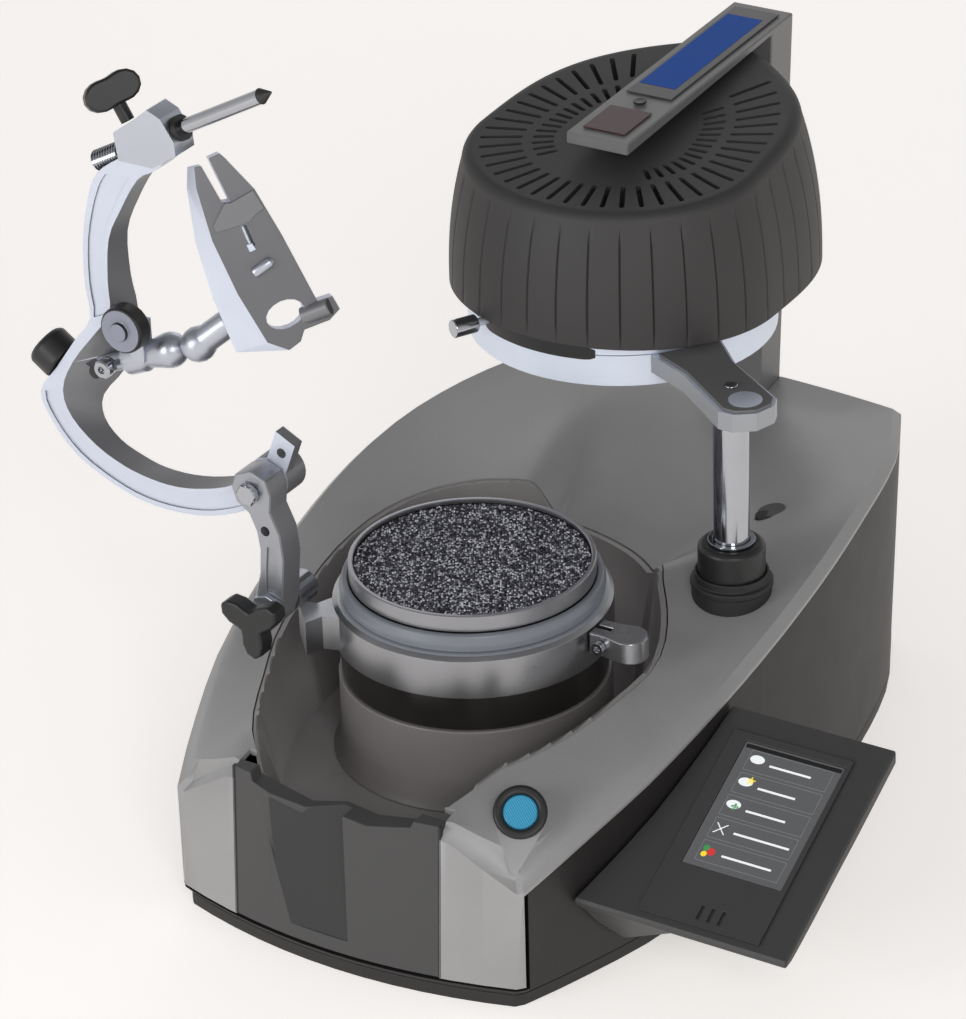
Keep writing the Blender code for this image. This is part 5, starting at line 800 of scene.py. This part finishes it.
def hood_rings(columns):
    """The hood's rings, from under its roof round its inside and lower edge up its outside to the top."""
    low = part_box("heater_hood")[0].z

    def ring(grow, height_of, depth=0.0):
        points = []
        for turn, share in columns:
            spot = hood_spot(turn, grow - depth * share)
            points.append(Vector((spot.x, spot.y, height_of(spot.y))))
        return points
    rings = [ring(-HOOD_CROWN_INSET - HOOD_WALL, lambda y: hood_top(y) - HOOD_WALL),
             ring(-HOOD_WALL, lambda y: low), ring(-HOOD_LIP, lambda y: low)]
    start = low + HOOD_LIP
    for step in range(WALL_STEPS + 1):
        share = step / WALL_STEPS
        deep = GROOVE_DEPTH if GROOVE_FROM_STEP <= step < WALL_STEPS else 0.0
        rings.append(ring(-HOOD_LEAN * share ** HOOD_LEAN_POWER,
                          lambda y: start + (hood_top(y) - HOOD_BRIM - start) * share, deep))
    for step in range(1, BRIM_STEPS + 1):
        angle = math.pi / 2 * step / BRIM_STEPS
        inset = HOOD_LEAN + (HOOD_CROWN_INSET - HOOD_LEAN) * (1 - math.cos(angle))
        rings.append(ring(-inset, lambda y: hood_top(y) - HOOD_BRIM * (1 - math.sin(angle))))
    return rings


def add_slot(form, first, last):
    """A cutter for one slot with round ends."""
    along = (last - first).normalized()
    side = Vector((-along.y, along.x))
    half = SLOT_WIDTH / 2
    corners = []
    for inner, start in ((last - along * half, -math.pi / 2), (first + along * half, math.pi / 2)):
        for step in range(SLOT_ROUND_STEPS + 1):
            angle = start + math.pi * step / SLOT_ROUND_STEPS
            corners.append(inner + along * half * math.cos(angle) + side * half * math.sin(angle))
    heights = (HOOD_TOP_FRONT - 2 * HOOD_BRIM, HOOD_TOP_FRONT + 2 * HOOD_TOP_RISE)
    add_rings(form, [[(spot.x, spot.y, height) for spot in corners] for height in heights])


def slot_blocked(spot):
    """Whether the bar over the hood covers this place."""
    return abs(spot.x - HOOD_X) < BAR_HALF_WIDTH + 2 * SLOT_WIDTH and spot.y > BAR_FRONT_Y - 2 * SLOT_WIDTH


def ring_reach(angle):
    """Where a ray from the middle of the slots meets the outline of their outer ends."""
    middle = Vector(SLOT_CENTRE)
    ray = Vector((math.cos(angle), math.sin(angle)))
    outline = [hood_spot(2 * step / REACH_STEPS - 1, -SLOT_EDGE_INSET) - middle
               for step in range(REACH_STEPS + 1)]
    best = 3 * HOOD_HALF_WIDTH
    for first, second in zip(outline, outline[1:] + outline[:1]):
        along = second - first
        cross = ray.x * along.y - ray.y * along.x
        if abs(cross) < PARALLEL:
            continue
        reach = (first.x * along.y - first.y * along.x) / cross
        share = (first.x * ray.y - first.y * ray.x) / cross
        if reach > 0 and 0 <= share <= 1:
            best = min(best, reach)
    return middle + ray * best


def make_hood():
    """The hood as one closed shell, with upright grooves round it and rows of slots in its top."""
    form = bmesh.new()
    add_rings(form, hood_rings(hood_columns()))
    piece = new_piece("heater_hood_look", face_outwards(form), "hood", "heater_hood", "heater_hood")
    cutters = bmesh.new()
    middle = Vector(SLOT_CENTRE)
    for near, far in SLOT_ROW_SHARES:
        for index in range(SLOT_COUNT):
            edge = ring_reach(2 * math.pi * (index + 0.5) / SLOT_COUNT - math.pi / 2)
            first, last = middle.lerp(edge, near), middle.lerp(edge, far)
            if not slot_blocked(first) and not slot_blocked(last):
                add_slot(cutters, first, last)
    mesh = bpy.data.meshes.new("slot_cut")
    face_outwards(cutters).to_mesh(mesh)
    cutters.free()
    tool = bpy.data.objects.new("slot_cut", mesh)
    bpy.context.collection.objects.link(tool)
    cut = piece.modifiers.new("slots", "BOOLEAN")
    cut.object = tool
    cut.operation = "DIFFERENCE"
    cut.solver = "EXACT"
    settle(piece)
    bpy.data.objects.remove(tool)
    smooth_shade(piece.data, HOOD_SHARP)
    shade_even(piece)


# Shading

def soften(piece, reach, alike, chosen=lambda polygon: True):
    """Blends the shading of chosen faces with that of alike faces within reach of each corner."""
    mesh = piece.data
    picked = [polygon for polygon in mesh.polygons if chosen(polygon)]
    corners = [(mesh.vertices[index].co, polygon) for polygon in picked for index in polygon.vertices]
    tree = KDTree(len(corners))
    for index, (spot, _) in enumerate(corners):
        tree.insert(spot, index)
    tree.balance()
    normals = [corner.vector.copy() for corner in mesh.corner_normals]
    for polygon in picked:
        for loop in polygon.loop_indices:
            spot = mesh.vertices[mesh.loops[loop].vertex_index].co
            total = Vector()
            for _, index, away in tree.find_range(spot, reach):
                other = corners[index][1]
                if other.normal.dot(polygon.normal) > alike:
                    total += other.normal * math.sqrt(other.area) * (NEAR_WEIGHT - away / reach)
            normals[loop] = total.normalized() if total.length else polygon.normal.copy()
    mesh.normals_split_custom_set(normals)


def make_deck():
    """The top cover with rounded edges, its gentle faces shaded as one smooth surface."""
    piece = dress("top_cover", "deck", DECK_EDGE, 2, DECK_SHARP)
    settle(piece)
    form = bmesh.new()
    form.from_mesh(piece.data)
    bmesh.ops.triangulate(form, faces=[face for face in form.faces if face.normal.z > DECK_GENTLE])
    for _ in range(DECK_CUTS):
        edges = {edge for face in form.faces if face.normal.z > DECK_GENTLE for edge in face.edges
                 if edge.calc_length() > DECK_BLEND / 2}
        bmesh.ops.subdivide_edges(form, edges=list(edges), cuts=1, use_grid_fill=True)
        bmesh.ops.triangulate(form, faces=[face for face in form.faces if len(face.verts) > 4])
    form.to_mesh(piece.data)
    form.free()
    smooth_shade(piece.data, DECK_SHARP)
    soften(piece, DECK_BLEND, DECK_ALIKE,
           lambda polygon: polygon.normal.z > DECK_STEEP and polygon.area > DECK_SPECK)


def paint_pieces():
    """Second finishes: painted highlights on the flange's tops, the jaw arm's front and the model plate's
    sides, painted shade on the jaw arm's other faces and the jaw link's side, a darker alloy on the plate's
    face, another alloy on the foil ring's arm and a pale face on the round knob. Then blended shading.
    """
    centre = Vector((0.0, RING_CENTRE_Y))
    face = Vector(PLATE_FACE)
    knob = LOOKED["round_knob"]
    front = min(vert.co.y for vert in knob.data.vertices) + KNOB_FACE_DEPTH
    for name, look, chosen in (
            # The flange's upward faces get a painted highlight
            ("flange_ring", "flange_top_highlight", lambda polygon: polygon.normal.z > FACING),
            ("foil_ring", "arm_alloy",
             lambda polygon: (polygon.center.xy - centre).length > RIM_RADIUS + RIM_MARGIN),
            # The jaw arm's front faces get a painted highlight, and its other faces painted shade
            ("jaw_arm", "bright_alloy_and_highlight",
             lambda polygon: polygon.normal.y < JAW_FRONT and polygon.center.z < CLAMP_FOOT),
            ("jaw_arm", "dull_alloy_and_shade",
             lambda polygon: polygon.normal.y > JAW_FRONT and polygon.center.z < CLAMP_FOOT),
            # The jaw link's side faces get painted shade
            ("jaw_link", "dull_alloy_and_shade", lambda polygon: polygon.normal.x > LINK_SIDE),
            # The model plate's sides get a painted highlight, and its face a darker alloy
            ("model_plate", "bright_alloy_and_highlight", lambda polygon: polygon.normal.dot(face) < FACING),
            ("model_plate", "plate_face", lambda polygon: polygon.normal.dot(face) > PLATE_FACING),
            ("round_knob", "knob_face",
             lambda polygon: polygon.normal.y < -FACING and polygon.center.y < front)):
        paint(LOOKED[name], look, chosen)
    for name, (reach, degrees) in SHADED_AGAIN.items():
        settle(LOOKED[name])
        soften(LOOKED[name], reach, math.cos(math.radians(degrees)))


# Small parts

def make_field(name, carrier, look, width_shares, length_shares, proud):
    """A thin plate on a four-cornered face of a piece, between shares of its width and length."""
    points, _, normal = top_face(carrier)
    points.sort(key=lambda point: point.y)
    low = sorted(points[:2], key=lambda point: point.x)
    high = sorted(points[-2:], key=lambda point: point.x)
    (x0, x1), (y0, y1) = width_shares, length_shares
    corners = [low[0].lerp(low[1], x).lerp(high[0].lerp(high[1], x), y)
               for x, y in ((x0, y0), (x1, y0), (x1, y1), (x0, y1))]
    form = bmesh.new()
    add_rings(form, [[corner + normal * height for corner in corners] for height in (-proud, proud)])
    new_piece(name, face_outwards(form), look, carrier)


def make_lever_slot():
    """The dark slot in the rim of the foil ring that the lever runs along."""
    low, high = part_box("lock_ring")
    outer = RIM_RADIUS + SLOT_PROUD
    inner = outer - 2 * SLOT_PROUD
    rows = []
    for step in range(LEVER_STEPS + 1):
        angle = math.radians(LEVER_FROM + (LEVER_TO - LEVER_FROM) * step / LEVER_STEPS)
        end = min(step, LEVER_STEPS - step)
        trim = LEVER_SLOT_TRIM * (LEVER_END_TRIMS[end] if end < len(LEVER_END_TRIMS) else 1.0)
        bottom, top = low.z - LEVER_SLOT_DROP + trim, high.z - trim
        rows.append([Vector((reach * math.cos(angle), RING_CENTRE_Y + reach * math.sin(angle), height))
                     for reach, height in ((outer, bottom), (outer, top), (inner, top), (inner, bottom))])
    form = bmesh.new()
    add_rings(form, rows)
    piece = new_piece("lever_slot", face_outwards(form), "black", "foil_ring")
    smooth_shade(piece.data, LEVER_SHARP)


def make_arm_details():
    """The bright disc on the arm plate and the cap of the sensor eye."""
    post = Vector(POST_XY)
    spot = post + (post - Vector((0.0, RING_CENTRE_Y))).normalized() * DISC_AWAY
    dome = [(0.0, DISC_CROWN + DISC_EDGE)]
    for step in range(1, DISC_STEPS + 1):
        share = step / DISC_STEPS
        dome.append((DISC_RADIUS * share, DISC_CROWN * (1 - share ** 2) + DISC_EDGE))
    dome.append((DISC_RADIUS, DISC_FOOT))
    place = (spot.x, spot.y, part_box("arm_plate")[1].z)
    make_turned("dimple_disc", dome, "bright_alloy_and_highlight", "arm_plate", place, UP)
    _, middle, normal = top_face("sensor_eye")
    make_turned("eye_cap", EYE_PROFILE, "black", "sensor_eye", middle, normal)


def plate_spot(across, along, proud):
    """A place on the model plate's face, from its own two directions and the height over it."""
    long_way, face = Vector(PLATE_LONG).normalized(), Vector(PLATE_FACE).normalized()
    side = long_way.cross(face).normalized()
    return Vector(PLATE_CENTRE) + side * across + long_way * along + face * (PLATE_HALF + proud)


def make_rod(name):
    """A round rod on the model plate, and which way it points."""
    look, start, end, radius, near, far, count = PLATE_RODS[name]
    start, end = plate_spot(*start), plate_spot(*end)
    length = (end - start).length
    profile = [(radius * wide, radius * away) for wide, away in near]
    profile += [(radius * wide, length - radius * away) for wide, away in far]
    piece = make_turned(name, profile, look, "model_plate", start, end - start, count)
    return piece, (end - start).normalized()


def make_plate_details():
    """The clip on the plate's upper third, the rail and block of its slot, a peg and the turned-up hook."""
    for name, (look, points, low, high, edge) in PLATE_PRISMS.items():
        form = bmesh.new()
        add_rings(form, [[plate_spot(x, y, proud) for x, y in points] for proud in (low, high)])
        piece = new_piece(name, face_outwards(form), look, "model_plate")
        smooth_shade(piece.data, PLATE_SHARP)
        round_edges(piece, edge, 2, PLATE_SHARP)
        shade_even(piece)
    make_rod("plate_peg")
    hook, way = make_rod("plate_hook")
    paint(hook, "insert", lambda polygon: polygon.normal.dot(way) > FACING)


def make_jaw_details():
    """The pin with its thread, dark collar and dark tip, and the bolt and socket at the elbow."""
    axis = Vector(PIN_AXIS)
    start = Vector(PIN_START)
    profile = [(0.0, 0.0), (PIN_CORE, 0.0)]
    for turn in range(PIN_TURNS):
        profile += [(PIN_CREST if crest else PIN_CORE, PIN_PITCH * (turn + share))
                    for share, crest in PIN_TURN_SHARES]
    profile += PIN_PROFILE
    piece = make_turned("pin_look", profile, "chrome", "incisal_pin", start, axis, angle=PIN_SHARP)
    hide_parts("incisal_pin")

    def along(polygon):
        return (polygon.center - start).dot(axis)
    paint(piece, "black", lambda polygon: PIN_COLLAR_FROM < along(polygon) < PIN_COLLAR_TO)
    paint(piece, "dark_tip_and_recess_shade", lambda polygon: along(polygon) > PIN_TIP_FROM)
    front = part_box("jaw_arm")[0].y
    for name, profile, look, (x, z), count in (("elbow_bolt", BOLT_PROFILE, "chrome", BOLT_XZ, 32),
                                               ("elbow_socket", SOCKET_PROFILE, "black", SOCKET_XZ, 24)):
        make_turned(name, profile, look, "jaw_arm", (x, front, z), FORWARD, count, ELBOW_SHARP)


def make_rim_and_nut():
    """The bright band of the cup over the seal, and the six-sided nut on the jaw holder's hinge."""
    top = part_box("pot_cup")[1].z + RIM_SKIN
    inner, outer = CUP_BORE - RIM_SKIN, CUP_NECK + RIM_SKIN
    band = [(inner, top - RIM_LIP), (outer, RIM_BAND_LOW), (outer, top - RIM_SOFT), (outer - RIM_SOFT, top),
            (inner + RIM_SOFT, top), (inner, top - RIM_SOFT)]
    make_turned("cup_band", band, "rim_steel", "pot_cup", (0.0, 0.0, 0.0), UP, RIM_SIDES, hollow=True)
    low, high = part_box("hinge_bolt")
    middle = Vector(((low.x + high.x) / 2, low.y, (low.z + high.z) / 2))
    wide = (high.x - low.x) / 2 * NUT_SPREAD
    nut = [(0.0, -NUT_THICK), (wide, -NUT_THICK), (wide, -NUT_CHAMFER), (wide * NUT_TOP_SHARE, NUT_PROUD),
           (0.0, NUT_PROUD)]
    make_turned("hinge_nut", nut, "chrome", "hinge_bolt", middle, FORWARD, NUT_SIDES, NUT_SHARP)


def make_recess():
    """The sloping face of the front recess, deepest at its upper right, in a dark colour that is painted
    shade.
    """
    form = bmesh.new()
    add_rings(form, [[(x, RECESS_REAR, z) for x, _, z in RECESS_POINTS], RECESS_POINTS])
    form.faces.ensure_lookup_table()
    bmesh.ops.triangulate(form, faces=[form.faces[-1]])
    piece = new_piece("insert_recess", face_outwards(form), "dark_tip_and_recess_shade", "front_insert")
    smooth_shade(piece.data, RECESS_SHARP)
    soften(piece, RECESS_BLEND, RECESS_ALIKE, lambda polygon: polygon.normal.y < RECESS_FRONT)


def make_seams():
    """The dark seams between the front insert and the front wings."""
    form = bmesh.new()
    for way in (-1, 1):
        x0, x1 = way * SEAM_X - SEAM_HALF, way * SEAM_X + SEAM_HALF
        add_rings(form, [[(x0, y, z), (x1, y, z), (x1, y + SEAM_DEPTH, z), (x0, y + SEAM_DEPTH, z)]
                         for y, z in SEAM_ENDS])
    new_piece("insert_seams", face_outwards(form), "black", "front_insert")


def make_post_details():
    """The foot of the rubber ring on the sloping deck, and the flat cap behind the post."""
    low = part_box("rubber_ring")[0].z
    foot = [(FOOT_BORE, low - FOOT_DEPTH), (FOOT_RADIUS, low - FOOT_DEPTH), (FOOT_RADIUS, low - FOOT_EDGE),
            (FOOT_RADIUS - FOOT_EDGE, low), (FOOT_BORE, low)]
    make_turned("rubber_foot", foot, "rubber", "rubber_ring", (*POST_XY, 0.0), UP, FOOT_SIDES, hollow=True)
    form = bmesh.new()
    form.from_mesh(NODES["top_cover"].data)
    deck = BVHTree.FromBMesh(form)
    form.free()
    x, y = CAP_XY
    (left, left_normal, *_), (right, right_normal, *_) = [
        deck.ray_cast(Vector((x + CAP_FEEL * way, y, 1.0)), -Vector(UP)) for way in (-1, 1)]
    make_turned("plug_cap", CAP_PROFILE, "plug", "deck_plug", (left + right) / 2,
                left_normal + right_normal, CAP_SIDES)


# The lit screen

def screen_frame():
    """The screen's middle, its two directions along its face, its normal and its half sizes."""
    points, middle, normal = top_face("touch_screen")
    across = Vector((1.0, 0.0, 0.0))
    along = normal.cross(across).normalized()
    half_x, half_y = (max(abs((point - middle).dot(way)) for point in points) for way in (across, along))
    return middle, across, along, normal, half_x, half_y


def patch(form, place, points):
    """A thin raised plate on the screen with the given outline in its own two directions."""
    middle, across, along, normal, _, _ = place
    add_rings(form, [[middle + across * x + along * y + normal * proud for x, y in points]
                     for proud in (0.0, MENU_PROUD)])


def bar(form, place, x0, y0, x1, y1):
    patch(form, place, [(x0, y0), (x1, y0), (x1, y1), (x0, y1)])


def disc(form, place, x, y, radius_x, radius_y):
    angles = [2 * math.pi * step / ICON_SIDES for step in range(ICON_SIDES)]
    patch(form, place, [(x + radius_x * math.cos(way), y + radius_y * math.sin(way)) for way in angles])


def star(form, place, x, y, radius):
    points = []
    for step in range(2 * STAR_POINTS):
        reach = radius if step % 2 == 0 else radius * STAR_WAIST
        angle = math.pi / 2 + math.pi * step / STAR_POINTS
        points.append((x + reach * math.cos(angle), y + reach * math.sin(angle)))
    patch(form, place, points)


def make_menu():
    """Five rows with a bar for the text and a generic mark each."""
    place = screen_frame()
    half_x, half_y = place[4], place[5]
    forms = {f"menu_{name}": bmesh.new() for name in ("line", "white", "yellow", "green", "red")}
    white = forms["menu_white"]
    left, right = (half_x * (2 * share - 1) for share in ROW_SPAN_SHARES)
    icon = left + ICON_RADIUS * ICON_AWAY
    label = icon + ICON_RADIUS * LABEL_AWAY
    middles = []
    for row in range(MENU_ROWS):
        top = half_y * (2 * (ROW_TOP_SHARE - ROW_STEP_SHARE * row) - 1)
        bottom = top - 2 * half_y * ROW_STEP_SHARE * ROW_FILL
        middle = (top + bottom) / 2
        middles.append(middle)
        for y in (top, bottom):
            bar(forms["menu_line"], place, left, y - MENU_LINE, right, y)
        for x in (left, right):
            bar(forms["menu_line"], place, x - MENU_LINE, bottom, x, top)
        bar(white, place, label, middle - LABEL_HEIGHT, label + 2 * half_x * LABEL_SHARES[row], middle)
        if row < DISC_ROWS:
            disc(white, place, icon, middle + LABEL_HEIGHT, ICON_RADIUS, ICON_RADIUS * ICON_FLAT)
    star(forms["menu_yellow"], place, icon + ICON_RADIUS * STAR_ASIDE, middles[STAR_ROW] + LABEL_HEIGHT * 2,
         ICON_RADIUS * STAR_SIZE)
    x, y = icon + ICON_RADIUS * PLUS_ASIDE, middles[PLUS_ROW]
    for wide, tall in PLUS_BARS:
        bar(forms["menu_green"], place, x - ICON_RADIUS * wide, y - ICON_RADIUS * tall,
            x + ICON_RADIUS * wide, y + ICON_RADIUS * tall)
    slim, y = ICON_RADIUS * CROSS_SLIM, middles[CROSS_ROW]
    for way in (-1, 1):
        tall = ICON_RADIUS * CROSS_TALL
        x0, x1 = icon - way * tall, icon + way * tall
        patch(white, place, [(x0 - slim, y - tall), (x0 + slim, y - tall), (x1 + slim, y + tall),
                             (x1 - slim, y + tall)])
    for name, aside, over, size in DOTS:
        disc(forms[name], place, icon + ICON_RADIUS * aside, middles[DOTS_ROW] + ICON_RADIUS * over,
             ICON_RADIUS * size, ICON_RADIUS * size)
    for name, form in forms.items():
        new_piece(name, face_outwards(form), name, "touch_screen")


camera()
studio()
LOOKED = {name: dress(name, *row) for name, row in DRESSED.items()}
paint_pieces()
for name, look in KEPT.items():
    keep(name, look)
make_deck()
make_granulate()
make_hood()
make_lever_slot()
make_arm_details()
make_plate_details()
make_jaw_details()
make_rim_and_nut()
make_recess()
make_seams()
make_post_details()
for name, row in FIELDS.items():
    make_field(name, *row)
make_menu()
